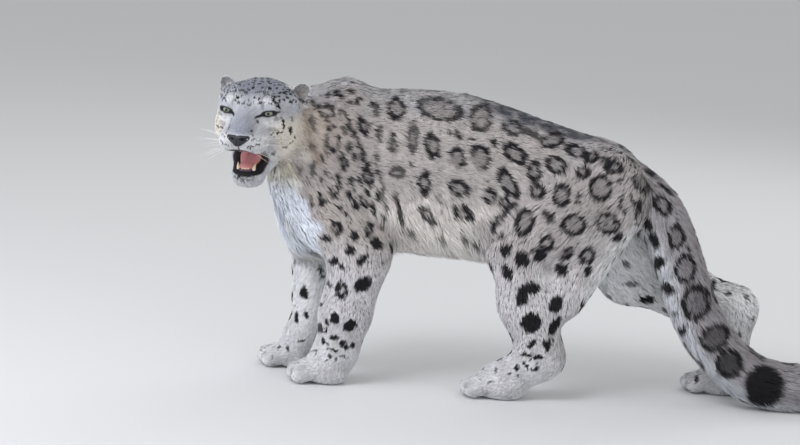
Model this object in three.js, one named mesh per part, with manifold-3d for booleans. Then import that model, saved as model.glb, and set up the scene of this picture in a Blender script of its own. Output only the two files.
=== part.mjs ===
// Snow leopard, life size, standing with its head turned to its left and its mouth open.
// Millimetres, +Z up. The head points to -X, the tail to +X, and the left side faces -Y.
// The flesh is a smooth field of named muscle masses over a skeleton. It is skinned once for
// each region, and parted into named pieces by thin cuts.
import * as THREE from 'three';
import { mergeVertices } from 'three/addons/utils/BufferGeometryUtils.js';
import Module from 'manifold-3d';

const wasm = await Module();
wasm.setup();

const v = (x, y, z) => new THREE.Vector3(x, y, z);
const UP = v(0, 0, 1);
const LEFT = -1; // the sign of Y on the left side
const RIGHT = 1;
const SIDES = [['left', LEFT], ['right', RIGHT]];

// Driving dimensions.
const GAP = 0.3; // between pieces that touch
const TRUNK_HALF_WIDTH = 116;
const UPPER_ARM = 186; // point of the shoulder to the elbow
const FOREARM = 198; // elbow to the wrist
const FEMUR = 218;
const TIBIA = 228;
const TAIL_RADIUS = 49;
const HEAD_HALF_WIDTH = 84;
const EYE_RADIUS = 14;

// Skeleton. Feet stand where the animal puts them, and the knees follow from the bone lengths.
const WRIST_HEIGHT = 66;
const BALL_HEIGHT = 26;

const foreleg = {
  left: limbFront(v(-108, -76, WRIST_HEIGHT), v(-195, -78, 402), LEFT),
  right: limbFront(v(-174, 56, WRIST_HEIGHT), v(-205, 74, 402), RIGHT),
};
const hindleg = {
  left: limbRear(v(221, -104, BALL_HEIGHT), v(298, -98, 84), LEFT),
  right: limbRear(v(676, 82, BALL_HEIGHT), v(692, 80, 178), RIGHT),
};

// The middle joint of a limb of two bones, bent towards a given side.
function middleJoint(top, end, upper, lower, towards) {
  const axis = end.clone().sub(top);
  const reach = axis.length();
  axis.normalize();
  const along = (upper ** 2 - lower ** 2 + reach ** 2) / (2 * reach);
  const off = Math.sqrt(Math.max(upper ** 2 - along ** 2, 0));
  const side = towards.clone().addScaledVector(axis, -towards.dot(axis)).normalize();
  return top.clone().addScaledVector(axis, along).addScaledVector(side, off);
}

function limbFront(wrist, shoulder, side) {
  const elbow = middleJoint(shoulder, wrist, UPPER_ARM, FOREARM, v(1, 0.12 * side, 0));
  return { side, shoulder, elbow, wrist, toes: v(wrist.x - 42, wrist.y, 0) };
}

function limbRear(ball, hock, side) {
  const hip = v(395, 58 * side, 424);
  const knee = middleJoint(hip, hock, FEMUR, TIBIA, v(-1, 0.25 * side, 0));
  return { side, hip, knee, hock, ball, toes: v(ball.x - 30, ball.y, 0) };
}

// Fields. A mass is a function of a place that is negative inside the mass.

// A bar from a to b whose radius runs from ra to rb; wideA and wideB scale it across the body.
function bar(a, b, ra, rb, wideA = 1, wideB = wideA) {
  const d = b.clone().sub(a);
  const length2 = d.lengthSq();
  return (x, y, z) => {
    const along = ((x - a.x) * d.x + (y - a.y) * d.y + (z - a.z) * d.z) / length2;
    const t = Math.min(Math.max(along, 0), 1);
    const across = (y - a.y - t * d.y) / (wideA + t * (wideB - wideA));
    return Math.hypot(x - a.x - t * d.x, across, z - a.z - t * d.z) - ra - t * (rb - ra);
  };
}

function ellipsoid(centre, radii) {
  return (x, y, z) => {
    const px = (x - centre.x) / radii.x;
    const py = (y - centre.y) / radii.y;
    const pz = (z - centre.z) / radii.z;
    const reach = Math.hypot(px, py, pz);
    const slope = Math.hypot(px / radii.x, py / radii.y, pz / radii.z);
    return slope > 1e-9 ? (reach * (reach - 1)) / slope : -Math.min(radii.x, radii.y, radii.z);
  };
}

// A chain of bars through stations of {at, r, wide}.
function chain(stations, soft = 0) {
  const bars = stations.slice(1).map((s, i) => {
    const p = stations[i];
    return bar(p.at, s.at, p.r, s.r, p.wide ?? 1, s.wide ?? 1);
  });
  return blend(soft, ...bars);
}

// Masses joined with a fillet of about the given size.
function blend(soft, ...masses) {
  if (!soft) return (x, y, z) => masses.reduce((least, m) => Math.min(least, m(x, y, z)), Infinity);
  return (x, y, z) => masses.reduce((least, m) => smoothLeast(least, m(x, y, z), soft), 1e6);
}

function smoothLeast(a, b, soft) {
  const h = Math.max(soft - Math.abs(a - b), 0) / soft;
  return Math.min(a, b) - (h * h * soft) / 4;
}

// A mass with another scooped out of it, with a rounded rim.
function scooped(mass, hollow, soft) {
  return (x, y, z) => -smoothLeast(-mass(x, y, z), hollow(x, y, z), soft);
}

// Trunk: stations along the spine, from the chest to the rump.
const wide = (halfWidth, r) => halfWidth / r;
const trunkStations = [
  { at: v(-110, 0, 430), r: 154, wide: wide(TRUNK_HALF_WIDTH - 8, 152) },
  { at: v(-70, 0, 427), r: 151, wide: wide(TRUNK_HALF_WIDTH - 6, 148) },
  { at: v(20, 0, 428), r: 155, wide: wide(TRUNK_HALF_WIDTH, 155) },
  { at: v(95, 0, 426), r: 155, wide: wide(TRUNK_HALF_WIDTH + 2, 155) },
  { at: v(180, 0, 414), r: 148, wide: wide(TRUNK_HALF_WIDTH, 148) },
  { at: v(265, 0, 414), r: 124, wide: wide(TRUNK_HALF_WIDTH - 8, 124) },
  { at: v(345, 0, 416), r: 102, wide: wide(TRUNK_HALF_WIDTH - 18, 102) },
  { at: v(405, 0, 414), r: 80, wide: wide(TRUNK_HALF_WIDTH - 34, 80) },
];
const trunk = blend(30,
  chain(trunkStations, 20),
  ellipsoid(v(-184, -4, 362), v(64, 84, 108)), // brisket and bib
);
const shoulderBlades = blend(20, ...SIDES.map(([, side]) =>
  bar(v(-128, 30 * side, 555), v(-196, 66 * side, 420), 41, 58, 0.8)));

// Neck: it rises from the chest and bends to the left, towards the head.
const HEAD_AT = v(-283, -91, 519); // between the ears, on the head's own axes
const HEAD_TURN = THREE.MathUtils.degToRad(15); // short of facing straight to the left
const neck = chain([
  { at: v(-146, 0, 472), r: 110, wide: 0.85 },
  { at: v(-203, -22, 490), r: 84, wide: 1 },
  { at: v(-244, -48, 506), r: 72, wide: 1.05 },
], 20);

// Legs.
function forelegMass(leg) {
  const { shoulder, elbow, wrist } = leg;
  const muscle = shoulder.clone().lerp(elbow, 0.45);
  const olecranon = elbow.clone().add(v(14, 0, 6));
  const front = leg.side === RIGHT ? [bar(v(-176, 70, 330), v(-162, 58, 150), 52, 45, 0.84)] : [];
  return blend(24,
    ...front, // the right leg stands straighter
    bar(shoulder, muscle, 62, 66, 0.62),
    bar(muscle, elbow, 66, 56, 0.62, 0.8),
    bar(olecranon, elbow.clone().lerp(wrist, 0.35), 42, 40, 0.9),
    bar(elbow, elbow.clone().lerp(wrist, 0.6), 56, 49, 0.84, 0.88),
    bar(elbow.clone().lerp(wrist, 0.6), wrist, 49, 45, 0.88, 0.92),
  );
}

function hindlegMass(leg) {
  const { hip, knee, hock, side } = leg;
  const middle = hip.clone().lerp(knee, 0.5);
  const seat = v(hip.x + 44, hip.y - 8 * side, hip.z - 22);
  const calf = side === LEFT ? knee.clone().lerp(hock, 0.5).add(v(62, 0, 12)) // the bent leg's calf stands out
    : knee.clone().lerp(hock, 0.3).add(v(18, 0, 8));
  const front = side === LEFT ? 48 : 62;
  return blend(28,
    bar(hip, middle, 82, 98, 0.62),
    bar(middle, knee, 98, front, 0.62, 0.72),
    bar(seat, calf, 54, 46, 0.85),
    bar(knee, knee.clone().lerp(hock, 0.5), front - 2, 54, 0.76),
    bar(knee.clone().lerp(hock, 0.5), hock, 54, 44, 0.8, 0.88),
  );
}

// A furry paw: the instep, four toes in a fan, and the big pad below.
function pawMass(ankle, toesAt, side, size) {
  const heading = v(-1, 0.1 * side, 0).normalize();
  const across = v(0, 1, 0);
  const front = toesAt.clone().setZ(24 * size);
  const toes = [-1.5, -0.5, 0.5, 1.5].map((place) => {
    const reach = (40 - 7 * Math.abs(place) ** 1.5) * size;
    const root = front.clone().addScaledVector(across, 17 * place * size).setZ(28 * size);
    const tip = front.clone().addScaledVector(heading, reach).setZ(18 * size)
      .addScaledVector(across, 23 * place * size);
    return bar(root, tip, 19 * size, 17.5 * size);
  });
  return blend(5,
    blend(22,
      bar(ankle, front.clone().add(v(14, 0, 12)), 40 * size, 32 * size, 1, 1.25),
      ellipsoid(front.clone().add(v(26, 0, -4)), v(44 * size, 45 * size, 28 * size))),
    ...toes);
}

const forelegs = SIDES.map(([name, side]) => {
  const leg = foreleg[name];
  return blend(16, forelegMass(leg), pawMass(leg.wrist, leg.toes, side, 1));
});
const hindlegs = SIDES.map(([name, side]) => {
  const leg = hindleg[name];
  const sole = leg.ball.clone().add(v(8, 0, 8));
  return blend(22, hindlegMass(leg), bar(leg.hock, sole, 43, 38, 0.9, 1.05),
    pawMass(sole, leg.toes, side, 0.94));
});

// Tail: it hangs from the rump, reaches the floor, and lies on it with the tip curling away.
const tailCurve = new THREE.CatmullRomCurve3([
  v(408, 0, 442), v(462, -4, 424), v(509, -20, 384), v(537, -36, 333), v(562, -46, 274),
  v(590, -52, 203), v(622, -55, 146), v(672, -56, 93), v(730, -54, 57), v(800, -46, 46),
  v(868, -24, 46), v(918, 14, 46), v(944, 62, 46), v(946, 104, 47),
], false, 'centripetal');
const TAIL_STEPS = 26;
const tailRadius = (t) => {
  const root = THREE.MathUtils.smoothstep(t, 0, 0.16);
  const tip = THREE.MathUtils.smoothstep(t, 0.9, 1);
  return TAIL_RADIUS * (0.86 + 0.14 * root) * (1 - 0.24 * tip);
};
const tailStations = Array.from({ length: TAIL_STEPS + 1 }, (_, i) => {
  const t = i / TAIL_STEPS;
  return { at: tailCurve.getPointAt(t), r: tailRadius(t) };
});
const tail = chain(tailStations);

// Everything that blends with the trunk. Legs never blend with each other or with the tail.
const torsoMass = blend(34, trunk, shoulderBlades, neck);
const withTorso = (soft, mass) => (x, y, z) => smoothLeast(torsoMass(x, y, z), mass(x, y, z), soft);
const forelegBody = forelegs.map((leg) => withTorso(34, leg));
const hindlegBody = hindlegs.map((leg) => withTorso(40, leg));
const tailBody = withTorso(26, tail);
const wholeBody = blend(0, ...forelegBody, ...hindlegBody, tailBody);

// Head, on its own axes: +X forward, +Y to the animal's left, +Z up, from between the ears.
// Masses that come in pairs are given for the left side.
const pair = (make) => blend(0, make(1), make(-1));
const headMass = (() => {
  const skull = blend(22,
    ellipsoid(v(2, 0, 23), v(76, 70, 59)),
    ellipsoid(v(52, 0, 33), v(42, 52, 38)),
    pair((s) => ellipsoid(v(72, 37 * s, 24), v(22, 23, 22))), // rims of the eye sockets
    pair((s) => ellipsoid(v(48, 46 * s, -10), v(40, 30, 30))), // cheekbones
    pair((s) => ellipsoid(v(12, 56 * s, -20), v(42, HEAD_HALF_WIDTH - 55, 42))), // cheek coat
    pair((s) => ellipsoid(v(26, 50 * s, 34), v(40, 28, 30))), // temples
    bar(v(70, 0, 14), v(112, 0, -8), 28, 22),
    bar(v(96, 0, 0), v(127, 0, -17), 22, 16),
    ellipsoid(v(98, 0, -28), v(40, 44, 27)),
  );
  const brows = pair((s) => ellipsoid(v(78, 32 * s, 45), v(18, 20, 10)));
  const muzzle = pair((s) => ellipsoid(v(108, 21.5 * s, -34), v(31, 25.5, 21.5)));
  const jaw = blend(16,
    pair((s) => ellipsoid(v(28, 30 * s, -52), v(30, 22, 27))),
    pair((s) => bar(v(14, 26 * s, -58), v(63, 14 * s, -102), 26, 17)),
    ellipsoid(v(72, 0, -107), v(24, 27, 19)));
  const solid = blend(14, blend(12, skull, brows, muzzle), jaw);
  const mouth = bar(v(64, 0, -70), v(150, 0, -75), 13, 27, 2.2, 1.7);
  const sockets = pair((s) => ellipsoid(v(104, 40.5 * s, 24), v(10, 17, 9)));
  return scooped(scooped(solid, mouth, 6), sockets, 8);
})();
const headMatrix = new THREE.Matrix4()
  .makeRotationZ(-Math.PI / 2 - HEAD_TURN)
  .setPosition(HEAD_AT);
const headField = (x, y, z) => {
  const p = v(x, y, z).applyMatrix4(headMatrix);
  return smoothLeast(headMass(x, y, z), torsoMass(p.x, p.y, p.z), 22);
};

// Skins. A rectilinear grid is laid over the field, one vertex goes in each cell that the
// surface passes through, and is then moved onto the surface.
const steps = (from, to, step) => {
  const count = Math.ceil((to - from) / step);
  return Array.from({ length: count + 1 }, (_, i) => from + i * step);
};

// Grid lines from a start through runs of [end, step].
function lines(from, ...runs) {
  const at = [from];
  for (const [to, step] of runs) while (at.at(-1) < to) at.push(at.at(-1) + step);
  return at;
}

function skin(field, xs, ys, zs) {
  const [nx, ny, nz] = [xs.length, ys.length, zs.length];
  const at = (i, j, k) => (k * ny + j) * nx + i;
  const values = new Float32Array(nx * ny * nz);
  for (let k = 0; k < nz; k++) {
    for (let j = 0; j < ny; j++) {
      for (let i = 0; i < nx; i++) {
        const rim = !i || !j || !k || i === nx - 1 || j === ny - 1 || k === nz - 1;
        const value = field(xs[i], ys[j], zs[k]) || 1e-6;
        values[at(i, j, k)] = rim ? Math.max(value, 1e-3) : value;
      }
    }
  }
  const corners = [0, 1, 2, 3, 4, 5, 6, 7].map((c) => [c & 1, (c >> 1) & 1, c >> 2]);
  const edges = [];
  for (let c = 0; c < 8; c++) for (const bit of [1, 2, 4]) if (!(c & bit)) edges.push([c, c | bit]);
  closePinches(values, [nx, ny, nz], corners.map(([a, b, d]) => at(a, b, d)), edges);
  const places = [];
  const vertexOf = new Int32Array(values.length).fill(-1);
  for (let k = 0; k + 1 < nz; k++) {
    for (let j = 0; j + 1 < ny; j++) {
      for (let i = 0; i + 1 < nx; i++) {
        const sum = v(0, 0, 0);
        let crossings = 0;
        const corner = (c) => {
          const [a, b, d] = corners[c];
          return { value: values[at(i + a, j + b, k + d)], place: v(xs[i + a], ys[j + b], zs[k + d]) };
        };
        for (const [c, d] of edges) {
          const p = corner(c);
          const q = corner(d);
          if (p.value < 0 === q.value < 0) continue;
          sum.add(p.place.lerp(q.place, p.value / (p.value - q.value)));
          crossings++;
        }
        if (!crossings) continue;
        vertexOf[at(i, j, k)] = places.length;
        const reach = 0.45 * Math.min(xs[i + 1] - xs[i], ys[j + 1] - ys[j], zs[k + 1] - zs[k]);
        places.push(ontoSurface(field, sum.divideScalar(crossings), reach));
      }
    }
  }
  const index = [];
  const quad = (a, b, c, d, flip) => {
    const ring = flip ? [d, c, b, a] : [a, b, c, d];
    const [p, q, r, s] = ring.map((n) => places[n]);
    if (p.distanceToSquared(r) < q.distanceToSquared(s)) {
      index.push(ring[0], ring[1], ring[2], ring[0], ring[2], ring[3]);
    } else {
      index.push(ring[1], ring[2], ring[3], ring[1], ring[3], ring[0]);
    }
  };
  const cell = (i, j, k) => vertexOf[at(i, j, k)];
  for (let k = 0; k + 1 < nz; k++) {
    for (let j = 0; j + 1 < ny; j++) {
      for (let i = 0; i + 1 < nx; i++) {
        const inside = values[at(i, j, k)] < 0;
        if (j && k && inside !== values[at(i + 1, j, k)] < 0) {
          quad(cell(i, j - 1, k - 1), cell(i, j, k - 1), cell(i, j, k), cell(i, j - 1, k), !inside);
        }
        if (i && k && inside !== values[at(i, j + 1, k)] < 0) {
          quad(cell(i - 1, j, k - 1), cell(i - 1, j, k), cell(i, j, k), cell(i, j, k - 1), !inside);
        }
        if (i && j && inside !== values[at(i, j, k + 1)] < 0) {
          quad(cell(i - 1, j - 1, k), cell(i, j - 1, k), cell(i, j, k), cell(i - 1, j, k), !inside);
        }
      }
    }
  }
  const geometry = new THREE.BufferGeometry().setFromPoints(places);
  geometry.setIndex(index);
  return geometry;
}

// One vertex in a cell describes one sheet of surface only, so where two sheets would meet in a
// cell, the space between them is filled.
function closePinches(values, [nx, ny, nz], offsets, edges) {
  const faces = [[0, 1, 3, 2], [4, 5, 7, 6], [0, 1, 5, 4], [2, 3, 7, 6], [0, 2, 6, 4], [1, 3, 7, 5]];
  const pieces = (signs, wanted) => {
    const group = signs.map((s, n) => (s === wanted ? n : -1));
    for (let turn = 0; turn < 8; turn++) {
      for (const [c, d] of edges) {
        if (signs[c] === wanted && signs[d] === wanted) {
          group[c] = group[d] = Math.min(group[c], group[d]);
        }
      }
    }
    return new Set(group.filter((n) => n >= 0)).size;
  };
  const pinched = (signs) => faces.some(([a, b, c, d]) =>
    signs[a] === signs[c] && signs[b] === signs[d] && signs[a] !== signs[b])
    || pieces(signs, true) > 1 || pieces(signs, false) > 1;
  let changed = true;
  while (changed) {
    changed = false;
    for (let k = 0; k + 1 < nz; k++) {
      for (let j = 0; j + 1 < ny; j++) {
        for (let i = 0; i + 1 < nx; i++) {
          const base = (k * ny + j) * nx + i;
          const signs = offsets.map((o) => values[base + o] < 0);
          if (signs.every((s) => s === signs[0]) || !pinched(signs)) continue;
          const outside = offsets.filter((o) => values[base + o] >= 0);
          const nearest = outside.sort((a, b) => values[base + a] - values[base + b])[0];
          values[base + nearest] = -1e-3;
          changed = true;
        }
      }
    }
  }
}

function slopeAt(field, p) {
  const h = 0.5;
  return v(
    field(p.x + h, p.y, p.z) - field(p.x - h, p.y, p.z),
    field(p.x, p.y + h, p.z) - field(p.x, p.y - h, p.z),
    field(p.x, p.y, p.z + h) - field(p.x, p.y, p.z - h),
  ).divideScalar(2 * h);
}

function ontoSurface(field, p, reach) {
  if (Math.abs(field(p.x, p.y, p.z)) > 4 * reach) return p;
  const start = p.clone();
  for (let turn = 0; turn < 3; turn++) {
    const slope = slopeAt(field, p);
    p.addScaledVector(slope, -field(p.x, p.y, p.z) / Math.max(slope.lengthSq(), 0.05));
  }
  return start.add(p.sub(start).clampLength(0, reach));
}

// Solids.
function solid(geometry, matrix) {
  const bare = new THREE.BufferGeometry();
  bare.setAttribute('position', geometry.getAttribute('position').clone());
  if (geometry.index) bare.setIndex(geometry.index);
  if (matrix) bare.applyMatrix4(matrix);
  const merged = mergeVertices(bare, 1e-3);
  return new wasm.Manifold(new wasm.Mesh({
    numProp: 3,
    vertProperties: merged.getAttribute('position').array,
    triVerts: new Uint32Array(merged.index.array),
  }));
}

function geometryOf(made) {
  const mesh = made.getMesh();
  const geometry = new THREE.BufferGeometry();
  geometry.setAttribute('position', new THREE.BufferAttribute(mesh.vertProperties, 3));
  geometry.setIndex(new THREE.BufferAttribute(mesh.triVerts, 1));
  return geometry;
}

// A cut leaves the largest closed surface and drops loose scraps.
const largest = (made) => made.decompose().sort((a, b) => b.volume() - a.volume())[0];

// A block that fills the side of a plane that its normal points to, starting `back` behind it.
const BLOCK = 3000;
function halfSpace(point, normal, back) {
  const out = normal.clone().normalize();
  const turn = new THREE.Quaternion().setFromUnitVectors(UP, out);
  const centre = point.clone().addScaledVector(out, BLOCK / 2 - back);
  const box = new THREE.BoxGeometry(BLOCK, BLOCK, BLOCK);
  return solid(box, new THREE.Matrix4().compose(centre, turn, v(1, 1, 1)));
}

// The two sides of a thin cut: [the side that the normal points to, the other side].
function part(made, point, normal) {
  const ahead = made.intersect(halfSpace(point, normal, -GAP / 2));
  const behind = made.intersect(halfSpace(point, normal.clone().negate(), -GAP / 2));
  return [largest(ahead), largest(behind)];
}

// The space inside several planes of {point, out}, grown by `grow`.
function cellOf(planes, grow) {
  return planes
    .map(({ point, out }) => halfSpace(point, out.clone().negate(), grow))
    .reduce((made, half) => made.intersect(half));
}

const FLOOR = { point: v(0, 0, 0), out: v(0, 0, -1) };

// The cell that each leg takes from the body: below and outside a slanting inner plane.
function forelegCell({ side, shoulder, elbow }) {
  return [
    FLOOR,
    { point: v(0, 14 * side, 236), out: v(0, -0.84 * side, 0.54).normalize() },
    { point: v(shoulder.x + 10, 0, 300), out: v(-1, 0, -0.08).normalize() },
    { point: v(elbow.x + 62, 0, 300), out: v(1, 0, 0.25).normalize() },
  ];
}

function hindlegCell({ side, hip, knee }) {
  const front = Math.min(knee.x - 74, hip.x - 150);
  return [
    FLOOR,
    { point: v(0, 10 * side, 262), out: v(0, -0.9 * side, 0.44).normalize() },
    { point: v(front, 0, 250), out: v(-0.92, 0, 0.38).normalize() },
  ];
}

// Locks. Each is a flat three-sided strip that starts inside the body, follows the skin along
// the lie of the coat, narrows, and lifts off towards its tip.
let draw = 11;
const random = () => {
  draw = (draw * 16807) % 2147483647;
  return draw / 2147483647;
};
const vary = (share) => 1 + share * (2 * random() - 1);
const LOCK_RUN = [-0.25, 0, 0.4, 0.74, 1]; // stations, as shares of the length
const LOCK_LIFT = [-15, -7, -2, 3, 8]; // above the skin
const LOCK_SPREAD = [0.6, 1, 0.92, 0.56, 0]; // shares of the half width
const LOCK_RIDGE = [6, 8, 7, 5, 0]; // thickness at the middle

function lock(field, near, lie, length, width, droop = 0) {
  const root = ontoSurface(field, near.clone(), 120);
  const out = slopeAt(field, root).normalize();
  const along = lie.clone().addScaledVector(out, -lie.dot(out)).normalize();
  const across = along.clone().cross(out);
  const size = length * vary(0.18);
  const half = 0.5 * width * vary(0.15);
  const points = LOCK_RUN.flatMap((share, n) => {
    const skinAt = ontoSurface(field, root.clone().addScaledVector(along, size * share), 60);
    const up = slopeAt(field, skinAt).normalize();
    const at = skinAt.addScaledVector(up, LOCK_LIFT[n]);
    at.z -= droop * Math.max(share, 0) ** 2;
    if (share === 1) return [at];
    const side = across.clone().multiplyScalar(half * LOCK_SPREAD[n]);
    return [at.clone().sub(side), at.clone().add(side), at.clone().addScaledVector(up, LOCK_RIDGE[n])];
  });
  const index = [0, 1, 2];
  for (let n = 0; n < 3; n++) {
    for (let k = 0; k < 3; k++) {
      const [a, b] = [3 * n + k, 3 * n + ((k + 1) % 3)];
      index.push(a, b + 3, b, a, a + 3, b + 3);
    }
  }
  for (let k = 0; k < 3; k++) index.push(9 + k, 12, 9 + ((k + 1) % 3));
  const strip = new THREE.BufferGeometry().setFromPoints(points);
  strip.setIndex(index);
  return solid(strip);
}

const withLocks = (made, locks) => largest(locks.reduce((sum, one) => sum.add(one), made));

// Materials.
const material = (name, color, roughness) =>
  new THREE.MeshStandardMaterial({ name, color, roughness, metalness: 0 });
const COAT = material('coat', 0xc9c1b4, 0.9);
const PALE_COAT = material('pale_coat', 0xe8e4da, 0.9);
const NOSE_LEATHER = material('nose_leather', 0x3a3436, 0.5);
const EYE = material('eye', 0x9aa083, 0.08);
const TONGUE = material('tongue', 0xc07a74, 0.45);

const leopard = new THREE.Group();
const headGroup = new THREE.Group();
headGroup.applyMatrix4(headMatrix);
leopard.add(headGroup);

function node(name, made, finish, parent = leopard) {
  const mesh = new THREE.Mesh(geometryOf(made), finish);
  mesh.name = name;
  parent.add(mesh);
}

// Head and neck.
const toWorld = ({ point, out }) => ({
  point: point.clone().applyMatrix4(headMatrix),
  out: out.clone().transformDirection(headMatrix),
});
const headCell = [
  { point: v(-14, 0, -30), out: v(-1, 0, -0.26).normalize() },
  { point: v(0, 98, 0), out: v(-0.1, 1, 0).normalize() },
];

// Grid lines are close together over the face and wide apart behind it.
const headSkin = solid(skin(headField,
  lines(-116, [24, 22], [66, 13.5], [160, 9.9]),
  lines(-120, [-53, 17], [53, 10.4], [124, 17]),
  lines(-150, [-112, 13], [58, 10.2], [108, 15])));
const ruff = [1, -1].flatMap((s) => [[24, -30], [6, -6], [4, -36], [18, -50], [-4, -54]].map(([x, z]) =>
  lock(headField, v(x, 92 * s, z), v(-0.7, 0.2 * s, -0.7), 44, 30)));
const headWhole = largest(withLocks(headSkin, ruff).intersect(cellOf(headCell, 0)));

// The ear: a thick rounded flap on a broad base, cupped in front, that leans out to the side.
function ear(side, grow = 0) {
  const frame = new THREE.Matrix4().makeTranslation(-8, 70 * side, 52)
    .multiply(new THREE.Matrix4().makeRotationFromEuler(new THREE.Euler(-0.6 * side, 0.08, 0.42 * side)));
  const lump = (place, size, across = 12, down = 8) => solid(new THREE.SphereGeometry(1, across, down),
    frame.clone().multiply(new THREE.Matrix4().makeTranslation(place)).scale(size));
  const flap = lump(v(0, 0, 8), v(12 + grow, 23 + grow, 26 + grow))
    .add(lump(v(-3, 0, -10), v(18 + grow, 28 + grow, 22 + grow), 10, 7));
  if (grow) return flap;
  return flap.subtract(lump(v(13, -1 * side, 9), v(15, 15, 18), 10, 7));
}

const EYE_AT = (side) => v(82, 41 * side, 22);
function ball(centre, radius, across = 12, down = 9) {
  const matrix = new THREE.Matrix4().makeTranslation(centre).scale(v(radius, radius, radius));
  return solid(new THREE.SphereGeometry(1, across, down), matrix);
}

// The lids: a skin over the eyeball, open along a slit that slants up towards the ear.
const LID = 3.4;
function lids(side) {
  const slit = new THREE.Matrix4().makeTranslation(EYE_AT(side).add(v(13, 3 * side, 0)))
    .multiply(new THREE.Matrix4().makeRotationFromEuler(new THREE.Euler(0.17 * side, 0, 0.26 * side)))
    .multiply(new THREE.Matrix4().makeScale(14, 13, 5.4));
  return ball(EYE_AT(side), EYE_RADIUS + LID, 14, 9)
    .subtract(solid(new THREE.SphereGeometry(1, 12, 8), slit));
}

const NOSE_AT = v(136, 0, -23);
function nose(grow = 0) {
  const size = new THREE.Matrix4().makeScale(13 + grow, 22 + grow, 11 + grow);
  const turn = new THREE.Matrix4().makeRotationY(0.5);
  const matrix = new THREE.Matrix4().makeTranslation(NOSE_AT).multiply(turn).multiply(size);
  const pad = solid(new THREE.SphereGeometry(1, 12, 8), matrix);
  if (grow) return pad;
  const nostrils = [1, -1].map((s) => ball(v(147, 11 * s, -26), 4.4, 7, 5));
  return nostrils.reduce((made, hole) => made.subtract(hole), pad);
}

function tongue(grow = 0) {
  const stations = [[v(54, 0, -73), 20], [v(72, 0, -81), 15]];
  return stations
    .map(([p, half]) => solid(new THREE.SphereGeometry(1, 10, 6), new THREE.Matrix4()
      .makeTranslation(p).scale(v(20 + grow, half + grow, 10 + grow))))
    .reduce((made, lump) => made.add(lump));
}

// A tooth, from its root up to its point.
function tooth(root, tip, radius) {
  const up = tip.clone().sub(root);
  const cone = new THREE.ConeGeometry(radius, up.length(), 7, 1);
  const turn = new THREE.Quaternion().setFromUnitVectors(v(0, 1, 0), up.clone().normalize());
  const middle = root.clone().lerp(tip, 0.5);
  return solid(cone, new THREE.Matrix4().compose(middle, turn, v(1, 1, 1)));
}
const lowerTeeth = [
  ...[1, -1].map((s) => tooth(v(82, 13.5 * s, -102), v(86, 16.5 * s, -76), 5)),
  ...[-1.5, -0.5, 0.5, 1.5].map((n) => tooth(v(89, 4.4 * n, -102), v(90, 4.4 * n, -89), 3)),
];

let headSolid = headWhole;
for (const side of [1, -1]) {
  headSolid = headSolid.add(lids(side))
    .subtract(ear(side, GAP)).subtract(ball(EYE_AT(side), EYE_RADIUS + GAP));
}
headSolid = lowerTeeth.reduce((made, t) => made.add(t), headSolid);
headSolid = largest(headSolid.subtract(nose(GAP)).subtract(tongue(GAP)));

// The lower jaw is cut free along a plane from the corner of the mouth to the jaw's angle.
const JAW_CUT = { point: v(66, 0, -72), out: v(-0.3, 0, 0.95).normalize() };
const [upperHead, jawSolid] = part(headSolid, JAW_CUT.point, JAW_CUT.out);
node('head', upperHead, COAT, headGroup);
node('lower_jaw', jawSolid, PALE_COAT, headGroup);
node('nose', nose(), NOSE_LEATHER, headGroup);
node('tongue', tongue(), TONGUE, headGroup);
for (const [name, side] of [['left', 1], ['right', -1]]) {
  node(`ear_${name}`, largest(ear(side)), COAT, headGroup);
  node(`eye_${name}`, ball(EYE_AT(side), EYE_RADIUS), EYE, headGroup);
}

// Torso and neck.
const torsoSkin = solid(skin(wholeBody, steps(-330, 560, 46), steps(-170, 170, 34), steps(180, 640, 34)));
const bellyLocks = [-22, 30, 82, 134, 186, 234].flatMap((x, row) =>
  (row % 2 ? [-34, 0, 34] : [-50, -17, 17, 50]).map((turn) => {
    const angle = THREE.MathUtils.degToRad(turn);
    const near = v(x, 118 * Math.sin(angle), 425 - 152 * Math.cos(angle));
    return lock(wholeBody, near, v(1, 0.3 * Math.sin(angle), -0.2), 62, 40, 9);
  }));
const bibLocks = [[424, 0], [392, 1], [352, 0], [298, 1]].flatMap(([z, row]) =>
  (row ? [-50, 0, 50] : [-26, 26]).map((y) =>
    lock(torsoMass, v(-280, y, z), v(0.25, 0.2 * Math.sign(y), -1), 58, 42, 4)));
let torsoSolid = withLocks(torsoSkin, [...bellyLocks, ...bibLocks]);
for (const [name] of SIDES) {
  torsoSolid = torsoSolid
    .subtract(cellOf(forelegCell(foreleg[name]), GAP))
    .subtract(cellOf(hindlegCell(hindleg[name]), GAP));
}
const TAIL_CUT = 0.07; // the share of the tail's length that stays on the rump
const tailRoot = { point: tailCurve.getPointAt(TAIL_CUT), out: tailCurve.getTangentAt(TAIL_CUT) };
torsoSolid = part(torsoSolid, tailRoot.point, tailRoot.out)[1];
torsoSolid = torsoSolid.subtract(cellOf(headCell.map(toWorld), GAP));
for (const side of [1, -1]) {
  torsoSolid = torsoSolid.subtract(solid(geometryOf(ear(side, GAP)), headMatrix));
}
const NECK_BASE = { point: v(-176, 0, 470), out: v(-0.86, -0.2, 0.5).normalize() };
const [neckSolid, chestSolid] = part(torsoSolid, NECK_BASE.point, NECK_BASE.out);
node('neck', neckSolid, COAT);
node('torso', chestSolid, COAT);

// Legs, each parted at its joints.
function along(a, b, share) {
  return { point: a.clone().lerp(b, share), out: b.clone().sub(a).normalize() };
}

// The plane that halves the bend at a joint between two bones.
function bend(above, joint, below) {
  const into = joint.clone().sub(above).normalize();
  return { point: joint, out: into.add(below.clone().sub(joint).normalize()).normalize() };
}

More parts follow.
